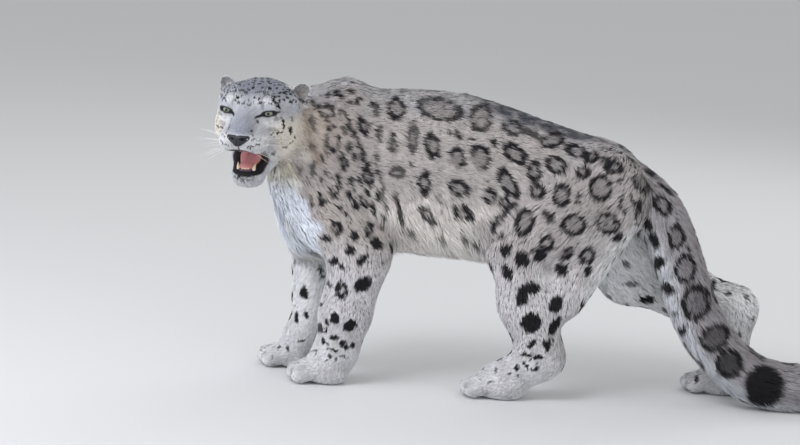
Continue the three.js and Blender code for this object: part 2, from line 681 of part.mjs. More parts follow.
SIDES.forEach(([name], i) => {
  const leg = foreleg[name];
  const { side, elbow, wrist } = leg;
  const ys = steps(side < 0 ? -190 : -40, side < 0 ? 40 : 190, 24);
  const xs = steps(wrist.x - 190, elbow.x + 130, 28);
  const upper = solid(skin(forelegBody[i], xs, ys, steps(-30, 520, 40)));
  const body = largest(upper.intersect(cellOf(forelegCell(leg), 0)));
  const atElbow = along(elbow, wrist, 0.02);
  const atWrist = along(elbow, wrist, 0.9);
  const [lower, arm] = part(body, atElbow.point, atElbow.out);
  const forearm = part(lower, atWrist.point, atWrist.out)[1];
  const fine = solid(skin(forelegBody[i], steps(wrist.x - 130, wrist.x + 80, 17),
    steps(wrist.y - 80, wrist.y + 80, 10.6), lines(-20, [48, 13], [wrist.z + 75, 32])));
  const paw = largest(fine.intersect(cellOf([FLOOR], 0))
    .intersect(halfSpace(atWrist.point, atWrist.out, -GAP / 2)));
  node(`upper_arm_${name}`, arm, COAT);
  node(`forearm_${name}`, forearm, COAT);
  node(`forepaw_${name}`, paw, PALE_COAT);
});

SIDES.forEach(([name], i) => {
  const leg = hindleg[name];
  const { side, hip, knee, hock, ball: sole } = leg;
  const ys = steps(side < 0 ? -200 : -40, side < 0 ? 40 : 200, 28);
  const xs = steps(Math.min(knee.x, sole.x) - 120, Math.max(hip.x, hock.x) + 120, 31);
  const breeches = [[420, 12], [396, 34], [386, 8], [360, 26], [348, 4], [322, 20]].map(([z, y]) =>
    lock(hindlegBody[i], v(hip.x + 84, hip.y + y * side, z), v(0.1, 0, -1), 58, 40, 3));
  const bulk = solid(skin(hindlegBody[i], xs, ys, steps(-30, 560, 34)));
  const body = largest(withLocks(bulk, breeches).intersect(cellOf(hindlegCell(leg), 0)));
  const atKnee = bend(hip, knee, hock);
  const atHock = bend(knee, hock, sole);
  const [lower, thigh] = part(body, atKnee.point, atKnee.out);
  const shank = part(lower, atHock.point, atHock.out)[1];
  const fine = solid(skin(hindlegBody[i], lines(sole.x - 120, [sole.x + 20, 17], [hock.x + 75, 27]),
    steps(sole.y - 78, sole.y + 78, 11), lines(-20, [48, 13], [hock.z + 90, 31])));
  const foot = largest(fine.intersect(cellOf([FLOOR], 0))
    .intersect(halfSpace(atHock.point, atHock.out, -GAP / 2)));
  node(`thigh_${name}`, thigh, COAT);
  node(`shank_${name}`, shank, COAT);
  node(`hindfoot_${name}`, foot, PALE_COAT);
});

// Tail, in even lengths.
const TAIL_PIECES = 6;
const TAIL_RING = 13;
function tailLength(from, to) {
  const shares = [...tailStations.keys()].map((i) => i / TAIL_STEPS)
    .filter((t) => t > from + 0.012 && t < to - 0.012);
  const rings = [from, ...shares, to].map((t) => ({ t, r: tailRadius(t), push: 0 }));
  if (to === 1) {
    for (const turn of [0.45, 0.85, 1.2]) {
      rings.push({ t: 1, r: tailRadius(1) * Math.cos(turn), push: tailRadius(1) * Math.sin(turn) });
    }
  }
  const points = [];
  const index = [];
  rings.forEach(({ t, r, push }, n) => {
    const centre = tailCurve.getPointAt(t);
    const out = tailCurve.getTangentAt(t);
    const shift = push + (t === from ? GAP / 2 : 0) - (t === to && to < 1 ? GAP / 2 : 0);
    centre.addScaledVector(out, shift);
    const across = out.clone().cross(UP).normalize();
    const up = across.clone().cross(out);
    for (let k = 0; k < TAIL_RING; k++) {
      const turn = (2 * Math.PI * (k + 0.5)) / TAIL_RING;
      points.push(centre.clone().addScaledVector(across, r * Math.cos(turn))
        .addScaledVector(up, r * Math.sin(turn)));
      const next = (k + 1) % TAIL_RING;
      const [a, b] = [n * TAIL_RING + k, n * TAIL_RING + next];
      if (n) index.push(a - TAIL_RING, a, b, a - TAIL_RING, b, b - TAIL_RING);
    }
  });
  for (let k = 1; k + 1 < TAIL_RING; k++) {
    const last = (rings.length - 1) * TAIL_RING;
    index.push(0, k, k + 1, last, last + k + 1, last + k);
  }
  const tube = new THREE.BufferGeometry().setFromPoints(points);
  tube.setIndex(index);
  const plain = solid(tube).intersect(cellOf([FLOOR], 0));
  if (to < 1) return largest(plain);
  const tuft = [[0.905, 0], [0.955, 0.5]].flatMap(([t, turned]) =>
    [0, 1, 2, 3].map((k) => {
      const turn = (Math.PI / 2) * (k + turned);
      const out = tailCurve.getTangentAt(t);
      const across = out.clone().cross(UP).normalize();
      const near = tailCurve.getPointAt(t).addScaledVector(across, 46 * Math.cos(turn))
        .addScaledVector(across.clone().cross(out), 46 * Math.sin(turn));
      return lock(tail, near, out, 58, 44);
    }));
  return largest(withLocks(plain, tuft).intersect(cellOf([FLOOR], 0)));
}
for (let i = 0; i < TAIL_PIECES; i++) {
  const share = (n) => TAIL_CUT + ((1 - TAIL_CUT) * n) / TAIL_PIECES;
  node(`tail_${i + 1}`, tailLength(share(i), i + 1 === TAIL_PIECES ? 1 : share(i + 1)), COAT);
}

// The origin is under the middle of the whole animal, on the floor.
const middle = new THREE.Box3().setFromObject(leopard, true).getCenter(v(0, 0, 0));
leopard.position.set(-middle.x, -middle.y, 0);

export default leopard;
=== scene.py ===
"""Snow leopard, life size: one skin, a coat of solid tufts, eyes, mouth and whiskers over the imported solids.

The body is a smooth field of muscle masses in millimetres on its own axes, with the head to -X, the tail
to +X and the left side facing -Y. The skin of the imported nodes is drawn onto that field, and the same
markings colour the skin and every tuft that grows from it.
"""
import logging
import math
from collections.abc import Callable, Sequence
from dataclasses import dataclass, field
from enum import Enum, IntEnum

import bmesh
import bpy
import numpy as np
from mathutils import Matrix, Vector, kdtree

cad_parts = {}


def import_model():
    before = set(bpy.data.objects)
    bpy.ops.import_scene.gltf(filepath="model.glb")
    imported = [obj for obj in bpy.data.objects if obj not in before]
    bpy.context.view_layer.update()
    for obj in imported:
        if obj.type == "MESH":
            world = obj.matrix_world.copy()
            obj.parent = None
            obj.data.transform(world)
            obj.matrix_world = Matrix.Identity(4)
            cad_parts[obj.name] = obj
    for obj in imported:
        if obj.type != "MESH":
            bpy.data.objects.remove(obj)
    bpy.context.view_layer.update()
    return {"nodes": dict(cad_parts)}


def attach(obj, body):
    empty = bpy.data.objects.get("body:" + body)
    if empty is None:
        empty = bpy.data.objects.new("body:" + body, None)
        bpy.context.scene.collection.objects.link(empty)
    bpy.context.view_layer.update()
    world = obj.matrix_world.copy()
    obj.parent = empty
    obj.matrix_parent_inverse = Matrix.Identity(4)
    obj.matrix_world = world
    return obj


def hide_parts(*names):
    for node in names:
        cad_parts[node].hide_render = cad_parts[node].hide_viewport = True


Points = np.ndarray
Mass = Callable[[Points], Points]
LOG = logging.getLogger("snow_leopard")
ORIGIN = np.array((-309.498, 35.474, 0.0))  # the body's own origin in the shared frame, in millimetres


def smooth(x: Points, low: float, high: float) -> Points:
    """Return 0 below low, 1 above high and a smooth step between them."""
    t = np.clip((x - low) / (high - low), 0.0, 1.0)
    return t * t * (3 - 2 * t)


def unit(v: Points) -> Points:
    """Return rows scaled to length 1."""
    return v / np.maximum(np.linalg.norm(v, axis=-1, keepdims=True), 1e-9)


def to_frame(p: Points) -> Points:
    """Return points of the body's axes in metres in the shared frame."""
    return (p + ORIGIN) / 1000


def to_body(p: Points) -> Points:
    """Return points of the shared frame in millimetres on the body's axes."""
    return p * 1000 - ORIGIN


def turned(x: float, y: float, z: float) -> Points:
    """Return the rotation matrix Rx Ry Rz as an array."""
    turn = Matrix.Rotation(x, 3, "X") @ Matrix.Rotation(y, 3, "Y") @ Matrix.Rotation(z, 3, "Z")
    return np.array(turn)


def lerp(a: Points, b: Points, t: float) -> Points:
    """Return the point at share t from a to b."""
    return a + t * (b - a)


def ripple(p: Points, length: float, seed: int, waves: int = 7) -> Points:
    """Make a smooth, irregular ripple over space.

    Args:
        p: The points in millimetres.
        length: About the distance between crests.
        seed: Picks the waves.
        waves: How many are added.

    Returns:
        Values of about -1 to 1.
    """
    draw = np.random.default_rng(seed)
    made = np.zeros(len(p))
    for _ in range(waves):
        way = unit(draw.normal(size=3)) * (2 * math.pi / (length * draw.uniform(0.7, 1.5)))
        made += np.sin(p @ way + draw.uniform(0, 6.3))
    return made / math.sqrt(waves)
# Masses. A mass is a field over points in millimetres that is negative inside the mass.


def bar(a: Sequence[float], b: Sequence[float], ra: float, rb: float,
        wide_a: float = 1.0, wide_b: float = 0.0) -> Mass:
    """Make a rounded bar whose radius and width across the body change along it.

    Args:
        a: The first end.
        b: The second end.
        ra: Radius at the first end.
        rb: Radius at the second end.
        wide_a: Scale across the body at the first end.
        wide_b: Scale across the body at the second end, or 0 for the same.

    Returns:
        The field of the bar.
    """
    start = np.array(a, float)
    run = np.array(b, float) - start
    end_wide = wide_b or wide_a

    def mass(p: Points) -> Points:
        """Return the bar's field at each point.

        Args:
            p: Places.

        Returns:
            The signed distance there.
        """
        t = np.clip((p - start) @ run / (run @ run), 0.0, 1.0)
        q = p - start - t[:, None] * run
        across = q[:, 1] / (wide_a + t * (end_wide - wide_a))
        return np.sqrt(q[:, 0] ** 2 + across ** 2 + q[:, 2] ** 2) - ra - t * (rb - ra)

    return mass


def ellipsoid(centre: Sequence[float], radii: Sequence[float]) -> Mass:
    """Make an ellipsoid.

    Args:
        centre: Its middle.
        radii: Its three half sizes.

    Returns:
        The field of the ellipsoid.
    """
    middle, size = np.array(centre, float), np.array(radii, float)

    def mass(p: Points) -> Points:
        """Return the ellipsoid's field at each point.

        Args:
            p: Places.

        Returns:
            The signed distance there.
        """
        q = (p - middle) / size
        reach = np.linalg.norm(q, axis=1)
        slope = np.maximum(np.linalg.norm(q / size, axis=1), 1e-9)
        return reach * (reach - 1) / slope

    return mass


def least(a: Points, b: Points, soft: float) -> Points:
    """Return the lesser of two fields with a fillet of about the given size."""
    h = np.maximum(soft - np.abs(a - b), 0.0) / soft
    return np.minimum(a, b) - h * h * soft / 4


def blend(soft: float, *masses: Mass) -> Mass:
    """Join masses with a fillet.

    Args:
        soft: Size of the fillet, or 0 for none.
        masses: The masses.

    Returns:
        The field of all of them together.
    """
    def mass(p: Points) -> Points:
        """Return the joined field at each point.

        Args:
            p: Places.

        Returns:
            The joined distance there.
        """
        made = masses[0](p)
        for one in masses[1:]:
            made = least(made, one(p), soft) if soft else np.minimum(made, one(p))
        return made

    return mass


def scooped(mass: Mass, hollow: Mass, soft: float) -> Mass:
    """Return a mass with a hollow scooped out of it, its rim rounded."""
    return lambda p: -least(-mass(p), hollow(p), soft)


def chain(stations: Sequence[tuple], soft: float = 0.0) -> Mass:
    """Join bars through stations of (place, radius, width scale)."""
    return blend(soft, *(bar(a[0], b[0], a[1], b[1], a[2], b[2]) for a, b in zip(stations, stations[1:])))


def pair(make: Callable[[int], Mass]) -> Mass:
    """Join the left and right copies of a mass of the head."""
    return blend(0, make(1), make(-1))


class Region(IntEnum):
    """Regions of the body, each with its own coat and markings."""

    TRUNK = 0
    NECK = 1
    FORE_LEFT = 2
    FORE_RIGHT = 3
    HIND_LEFT = 4
    HIND_RIGHT = 5
    TAIL = 6
    HEAD = 7


FILLETS = {Region.FORE_LEFT: 34, Region.FORE_RIGHT: 34, Region.HIND_LEFT: 40, Region.HIND_RIGHT: 40,
           Region.TAIL: 26, Region.HEAD: 22}  # where each joins the torso, in millimetres


@dataclass
class Limb:
    """One leg: its joints in millimetres, and the side it is on (-1 left, 1 right)."""

    side: int
    joints: list[Points]
    mass: Mass = lambda p: p[:, 0]

    def path(self) -> Points:
        """Return the joints from the trunk down to the toes."""
        return np.array(self.joints)


@dataclass
class Flesh:
    """The animal's body as a smooth field of muscle masses, in millimetres on its own axes."""

    upper_arm: float = 186.0
    forearm: float = 198.0
    femur: float = 218.0
    tibia: float = 228.0
    wrist_height: float = 66.0
    ball_height: float = 26.0
    tail_radius: float = 49.0
    head_at: tuple = (-283.0, -91.0, 519.0)
    head_turn: float = math.radians(15)
    eye_radius: float = 14.0
    eye: tuple = (82.0, 41.0, 22.0)
    opening: tuple = (13.2, 4.5)
    lid: float = 3.4
    limbs: dict = field(default_factory=dict)

    def __post_init__(self) -> None:
        """Make every mass."""
        self.to_head = turned(0, 0, -math.pi / 2 - self.head_turn)
        self.trunk_path = np.array([(-138, 0, 430), (20, 0, 428), (180, 0, 414), (345, 0, 416),
                                    (430, 0, 430)], float)
        self.torso = self.make_torso()
        for name, side in (("left", -1), ("right", 1)):
            self.limbs["fore_" + name] = self.make_foreleg(side)
        for name, side in (("left", -1), ("right", 1)):
            self.limbs["hind_" + name] = self.make_hindleg(side)
        self.tail_path = self.make_tail_path()
        self.tail = self.make_tail()
        self.head = self.make_head()
        self.measure_boxes()

    def make_torso(self) -> Mass:
        """Make the trunk, shoulder blades and neck.

        Returns:
            The field of all three.
        """
        spine = [(-110, 430, 154, 108, 152), (-70, 427, 151, 110, 148), (20, 428, 155, 116, 155),
                 (95, 426, 155, 118, 155), (180, 414, 148, 116, 148), (265, 414, 124, 108, 124),
                 (345, 416, 102, 98, 102), (405, 414, 80, 82, 80)]
        stations = [((x, 0, z), r, half / over) for x, z, r, half, over in spine]
        brisket = ellipsoid((-184, -4, 362), (64, 84, 108))
        blades = blend(20, *(bar((-128, 30 * s, 555), (-196, 66 * s, 420), 41, 58, 0.8) for s in (-1, 1)))
        self.neck_path = np.array([(-246, -48, 502), (-205, -22, 482), (-150, 0, 470)], float)
        neck = chain([((-146, 0, 472), 110, 0.85), ((-203, -22, 490), 84, 1.0),
                      ((-244, -48, 506), 72, 1.05)], 20)
        self.neck = neck
        column = chain(stations, 20)
        self.trunk = blend(30, column, brisket, blades)
        return blend(34, blend(30, column, brisket), blades, neck)

    @staticmethod
    def middle_joint(top: Points, end: Points, upper: float, lower: float, towards: Points) -> Points:
        """Find the middle joint of a limb of two bones.

        Args:
            top: The upper joint.
            end: The lower joint.
            upper: Length of the upper bone.
            lower: Length of the lower bone.
            towards: The side that the joint bends to.

        Returns:
            The joint's place.
        """
        axis = end - top
        reach = np.linalg.norm(axis)
        axis = axis / reach
        along = (upper ** 2 - lower ** 2 + reach ** 2) / (2 * reach)
        off = math.sqrt(max(upper ** 2 - along ** 2, 0.0))
        out = towards - (towards @ axis) * axis
        return top + along * axis + off * out / np.linalg.norm(out)

    def make_foreleg(self, side: int) -> Limb:
        """Make a foreleg.

        Args:
            side: -1 for the left and 1 for the right.

        Returns:
            The limb.
        """
        wrist = np.array((-108, -76, self.wrist_height) if side < 0 else (-174, 56, self.wrist_height), float)
        shoulder = np.array((-195, -78, 402) if side < 0 else (-205, 74, 402), float)
        elbow = self.middle_joint(shoulder, wrist, self.upper_arm, self.forearm, np.array((1, 0.12 * side, 0)))
        toes = np.array((wrist[0] - 42, wrist[1], 0))
        muscle, low = lerp(shoulder, elbow, 0.45), lerp(elbow, wrist, 0.6)
        leg = blend(24,
                    bar(shoulder, muscle, 62, 66, 0.62),
                    bar(muscle, elbow, 66, 56, 0.62, 0.8),
                    bar(elbow + (14, 0, 6), lerp(elbow, wrist, 0.35), 42, 40, 0.9),
                    bar(elbow, low, 56, 49, 0.84, 0.88),
                    bar(low, wrist, 49, 45, 0.88, 0.92))
        if side > 0:
            leg = blend(24, leg, bar((-176, 70, 330), (-162, 58, 150), 52, 45, 0.84))
        made = Limb(side, [shoulder, elbow, wrist, toes + (0, 0, 24), toes + (-44, 0, 16)])
        made.mass = blend(16, leg, self.make_paw(wrist, toes, side, 1.0))
        return made

    def make_hindleg(self, side: int) -> Limb:
        """Make a hind leg.

        Args:
            side: -1 for the left and 1 for the right.

        Returns:
            The limb.
        """
        ball = np.array((221, -104, self.ball_height) if side < 0 else (676, 82, self.ball_height), float)
        hock = np.array((298, -98, 84) if side < 0 else (692, 80, 178), float)
        hip = np.array((395, 58 * side, 424), float)
        knee = self.middle_joint(hip, hock, self.femur, self.tibia, np.array((-1, 0.25 * side, 0)))
        middle, seat = lerp(hip, knee, 0.5), hip + (44, -8 * side, -22)
        low = lerp(knee, hock, 0.5)
        calf = low + (62, 0, 12) if side < 0 else lerp(knee, hock, 0.3) + (18, 0, 8)
        front = 48 if side < 0 else 62
        sole, toes = ball + (8, 0, 8), np.array((ball[0] - 30, ball[1], 0))
        leg = blend(28,
                    bar(hip, middle, 82, 98, 0.62),
                    bar(middle, knee, 98, front, 0.62, 0.72),
                    bar(seat, calf, 54, 46, 0.85),
                    bar(knee, low, front - 2, 54, 0.76),
                    bar(low, hock, 54, 44, 0.8, 0.88))
        made = Limb(side, [hip, knee, hock, toes + (10, 0, 24), toes + (-40, 0, 16)])
        made.mass = blend(22, leg, bar(hock, sole, 43, 38, 0.9, 1.05), self.make_paw(sole, toes, side, 0.94))
        return made

    @staticmethod
    def make_paw(ankle: Points, toes_at: Points, side: int, size: float) -> Mass:
        """Make a furry paw: the instep, four toes in a fan, and the big pad below.

        Args:
            ankle: Where the leg ends.
            toes_at: The floor under the roots of the toes.
            side: -1 for the left and 1 for the right.
            size: Scale of the paw.

        Returns:
            The field of the paw.
        """
        heading = np.array((-1, 0.1 * side, 0)) / math.hypot(1, 0.1)
        front = toes_at + (0, 0, 24 * size)
        toes = []
        for place in (-1.5, -0.5, 0.5, 1.5):
            root = front + (0, 17 * place * size, 4 * size)
            tip = front + heading * (40 - 7 * abs(place) ** 1.5) * size + (0, 23 * place * size, -6 * size)
            toes.append(bar(root, tip, 19 * size, 17.5 * size))
        foot = blend(22,
                     bar(ankle, front + (14, 0, 12), 40 * size, 32 * size, 1, 1.25),
                     ellipsoid(front + (26, 0, -4), np.array((44, 45, 28)) * size))
        return blend(5, foot, *toes)

    @staticmethod
    def make_tail_path() -> Points:
        """Run a centripetal curve through the tail's stations.

        Returns:
            Points along the tail, evenly apart.
        """
        knots = np.array([(408, 0, 442), (462, -4, 424), (509, -20, 384), (537, -36, 333), (562, -46, 274),
                          (590, -52, 203), (622, -55, 146), (672, -56, 93), (730, -54, 57), (800, -46, 46),
                          (868, -24, 46), (918, 14, 46), (944, 62, 46), (946, 104, 47)], float)
        whole = np.vstack([2 * knots[0] - knots[1], knots, 2 * knots[-1] - knots[-2]])
        points = []
        for p0, p1, p2, p3 in zip(whole, whole[1:], whole[2:], whole[3:]):
            gaps = [max(np.linalg.norm(b - a) ** 0.5, 1e-6) for a, b in ((p0, p1), (p1, p2), (p2, p3))]
            m1 = ((p1 - p0) / gaps[0] - (p2 - p0) / (gaps[0] + gaps[1]) + (p2 - p1) / gaps[1]) * gaps[1]
            m2 = ((p2 - p1) / gaps[1] - (p3 - p1) / (gaps[1] + gaps[2]) + (p3 - p2) / gaps[2]) * gaps[1]
            t = np.linspace(0, 1, 24, endpoint=False)[:, None]
            points.append(p1 + m1 * t + (3 * (p2 - p1) - 2 * m1 - m2) * t ** 2
                          + (2 * (p1 - p2) + m1 + m2) * t ** 3)
        dense = np.vstack([*points, knots[-1:]])
        run = np.concatenate([[0], np.cumsum(np.linalg.norm(np.diff(dense, axis=0), axis=1))])
        even = np.linspace(0, run[-1], 27)
        return np.stack([np.interp(even, run, dense[:, k]) for k in range(3)], 1)

    def make_tail(self) -> Mass:
        """Make the tail: thick and even, a little thinner at its root and towards its tip.

        Returns:
            The field of the tail.
        """
        t = np.linspace(0, 1, len(self.tail_path))
        root, tip = smooth(t, 0, 0.16), smooth(t, 0.9, 1)
        radii = self.tail_radius * (0.86 + 0.14 * root) * (1 - 0.24 * tip)
        return chain([(p, r, 1.0) for p, r in zip(self.tail_path, radii)])

    def make_head(self) -> Mass:
        """Make the head on its own axes: +X forward, +Y to the animal's left, from between the ears.

        Returns:
            The field of the head with its ears, lids, mouth and sockets.
        """
        skull = blend(22,
                      ellipsoid((2, 0, 23), (76, 70, 59)),
                      ellipsoid((52, 0, 33), (42, 52, 38)),
                      pair(lambda s: ellipsoid((72, 37 * s, 24), (22, 23, 22))),
                      pair(lambda s: ellipsoid((48, 46 * s, -10), (40, 30, 30))),
                      pair(lambda s: ellipsoid((12, 56 * s, -20), (42, 29, 42))),
                      pair(lambda s: ellipsoid((26, 50 * s, 34), (40, 28, 30))),
                      bar((70, 0, 14), (112, 0, -8), 28, 22),
                      bar((96, 0, 0), (127, 0, -17), 22, 16),
                      ellipsoid((98, 0, -28), (40, 44, 27)))
        brows = pair(lambda s: ellipsoid((78, 32 * s, 45), (18, 20, 10)))
        muzzle = pair(lambda s: ellipsoid((108, 21.5 * s, -34), (31, 25.5, 21.5)))
        jaw = blend(16,
                    pair(lambda s: ellipsoid((28, 30 * s, -52), (30, 22, 27))),
                    pair(lambda s: bar((14, 26 * s, -58), (63, 14 * s, -102), 26, 17)),
                    ellipsoid((72, 0, -107), (24, 27, 19)))
        self.mouth = bar((64, 0, -70), (150, 0, -75), 13, 27, 2.2, 1.7)
        sockets = pair(lambda s: ellipsoid((104, 40.5 * s, 24), (10, 17, 9)))
        solid = blend(14, blend(12, skull, brows, muzzle), jaw)
        face = scooped(scooped(solid, self.mouth, 6), sockets, 8)
        lids = pair(lambda s: ellipsoid((self.eye[0], self.eye[1] * s, self.eye[2]),
                                        (self.eye_radius + self.lid,) * 3))
        face = scooped(blend(7, face, lids), pair(self.make_slit), 2)
        self.ears = pair(self.make_ear)
        return blend(6, face, self.ears)

    @staticmethod
    def slit_turn(side: int) -> Points:
        """Return the turn of one eye's opening: outwards, and up at its outer corner."""
        return turned(0.17 * side, 0, 0.26 * side)

    def make_slit(self, side: int) -> Mass:
        """Make the opening between the lids of one eye, down to just below the eyeball's surface.

        Args:
            side: 1 for the left and -1 for the right.

        Returns:
            The field of the opening.
        """
        middle = np.array(self.eye) * (1, side, 1)
        turn = self.slit_turn(side)
        opening = ellipsoid((14, 0, 0), (30, *self.opening))

        def mass(p: Points) -> Points:
            """Return the opening's field at each point."""
            q = (p - middle) @ turn
            return np.maximum(opening(q), self.eye_radius - 1.6 - np.linalg.norm(q, axis=1))

        return mass

    def make_ear(self, side: int) -> Mass:
        """Make one ear: a rounded flap on a broad base, cupped in front.

        Args:
            side: 1 for the left and -1 for the right.

        Returns:
            The field of the ear.
        """
        flap = blend(5, ellipsoid((0, 0, 8), (12, 23, 26)), ellipsoid((-3, 0, -10), (18, 28, 22)))
        return self.placed_ear(side, scooped(flap, self.ear_scoop(side), 4))

    @staticmethod
    def ear_scoop(side: int) -> Mass:
        """Return the hollow of one ear on the ear's own axes."""
        return ellipsoid((13, -side, 9), (15, 15, 18))

    @staticmethod
    def placed_ear(side: int, mass: Mass) -> Mass:
        """Move a mass from one ear's own axes to the head's.

        Args:
            side: 1 for the left and -1 for the right.
            mass: The mass.

        Returns:
            The moved mass.
        """
        turn = turned(-0.6 * side, 0.08, 0.42 * side)
        return lambda p: mass((p - (-8, 70 * side, 52)) @ turn)

    def ear_hollow(self, side: int) -> Mass:
        """Return the hollow of one ear on the head's axes."""
        return self.placed_ear(side, self.ear_scoop(side))

    def local(self, p: Points) -> Points:
        """Return points on the head's own axes."""
        return (p - self.head_at) @ self.to_head

    def world(self, q: Points) -> Points:
        """Return points of the head's own axes on the body's axes."""
        return np.asarray(q, float) @ self.to_head.T + self.head_at

    def measure_boxes(self) -> None:
        """Note the box around each region, outside of which its field isn't worked out."""
        path = {Region.TRUNK: (self.trunk_path, 200), Region.NECK: (self.neck_path, 170),
                Region.TAIL: (self.tail_path, 100), Region.HEAD: (np.array([self.head_at]), 235)}
        for region, limb in zip((Region.FORE_LEFT, Region.FORE_RIGHT, Region.HIND_LEFT, Region.HIND_RIGHT),
                                self.limbs.values()):
            path[region] = (limb.path(), 165)
        self.boxes = {region: (points.min(0) - room, points.max(0) + room)
                      for region, (points, room) in path.items()}

    def within(self, region: Region, mass: Mass, p: Points) -> Points:
        """Return a region's field near it, and a large value elsewhere.

        Args:
            region: The region.
            mass: Its field.
            p: Places.

        Returns:
            The field at each place.
        """
        low, high = self.boxes[region]
        inside = ((p > low) & (p < high)).all(1)
        made = np.full(len(p), 99.0)
        if inside.any():
            made[inside] = mass(p[inside])
        return made

    def parts(self, p: Points) -> Points:
        """Return the field of each region at each point, in the order of Region, and of the torso last.

        Args:
            p: Places.

        Returns:
            One column for each region.
        """
        legs = [self.within(region, limb.mass, p) for region, limb in
                zip((Region.FORE_LEFT, Region.FORE_RIGHT, Region.HIND_LEFT, Region.HIND_RIGHT),
                    self.limbs.values())]
        head = self.within(Region.HEAD, lambda q: self.head(self.local(q)), p)
        return np.stack([self.within(Region.TRUNK, self.trunk, p), self.within(Region.NECK, self.neck, p), *legs,
                         self.within(Region.TAIL, self.tail, p), head,
                         self.within(Region.TRUNK, self.torso, p)], 1)

    def whole(self, p: Points) -> Points:
        """Return the field of the whole animal at each point.

        Args:
            p: Places.

        Returns:
            The signed distance there.
        """
        made = self.parts(p)
        joined = [least(made[:, -1], made[:, region], soft) for region, soft in FILLETS.items()]
        return np.minimum.reduce(joined)

    def slope(self, p: Points, step: float = 0.4) -> tuple[Points, Points]:
        """Measure the field and its slope.

        Args:
            p: The points.
            step: Distance between the samples.

        Returns:
            The field's value and its gradient at each point.
        """
        corners = np.array([(1, 1, 1), (1, -1, -1), (-1, 1, -1), (-1, -1, 1)], float)
        values = np.stack([self.whole(p + step * c) for c in corners], 1)
        return values.mean(1), values @ corners / (4 * step)

    def settle(self, p: Points, turns: int = 3, reach: float = 12.0) -> tuple[Points, Points]:
        """Move points onto the surface.

        Args:
            p: The points.
            turns: Newton steps.
            reach: The furthest that one step goes.

        Returns:
            The moved points and the outward normal at each.
        """
        for _ in range(turns):
            value, slope = self.slope(p)
            size = np.maximum((slope ** 2).sum(1), 0.05)
            move = slope * (-value / size)[:, None]
            far = np.maximum(np.linalg.norm(move, axis=1) / reach, 1)
            p = p + move / far[:, None]
        _, slope = self.slope(p)
        return p, slope / np.maximum(np.linalg.norm(slope, axis=1), 1e-6)[:, None]


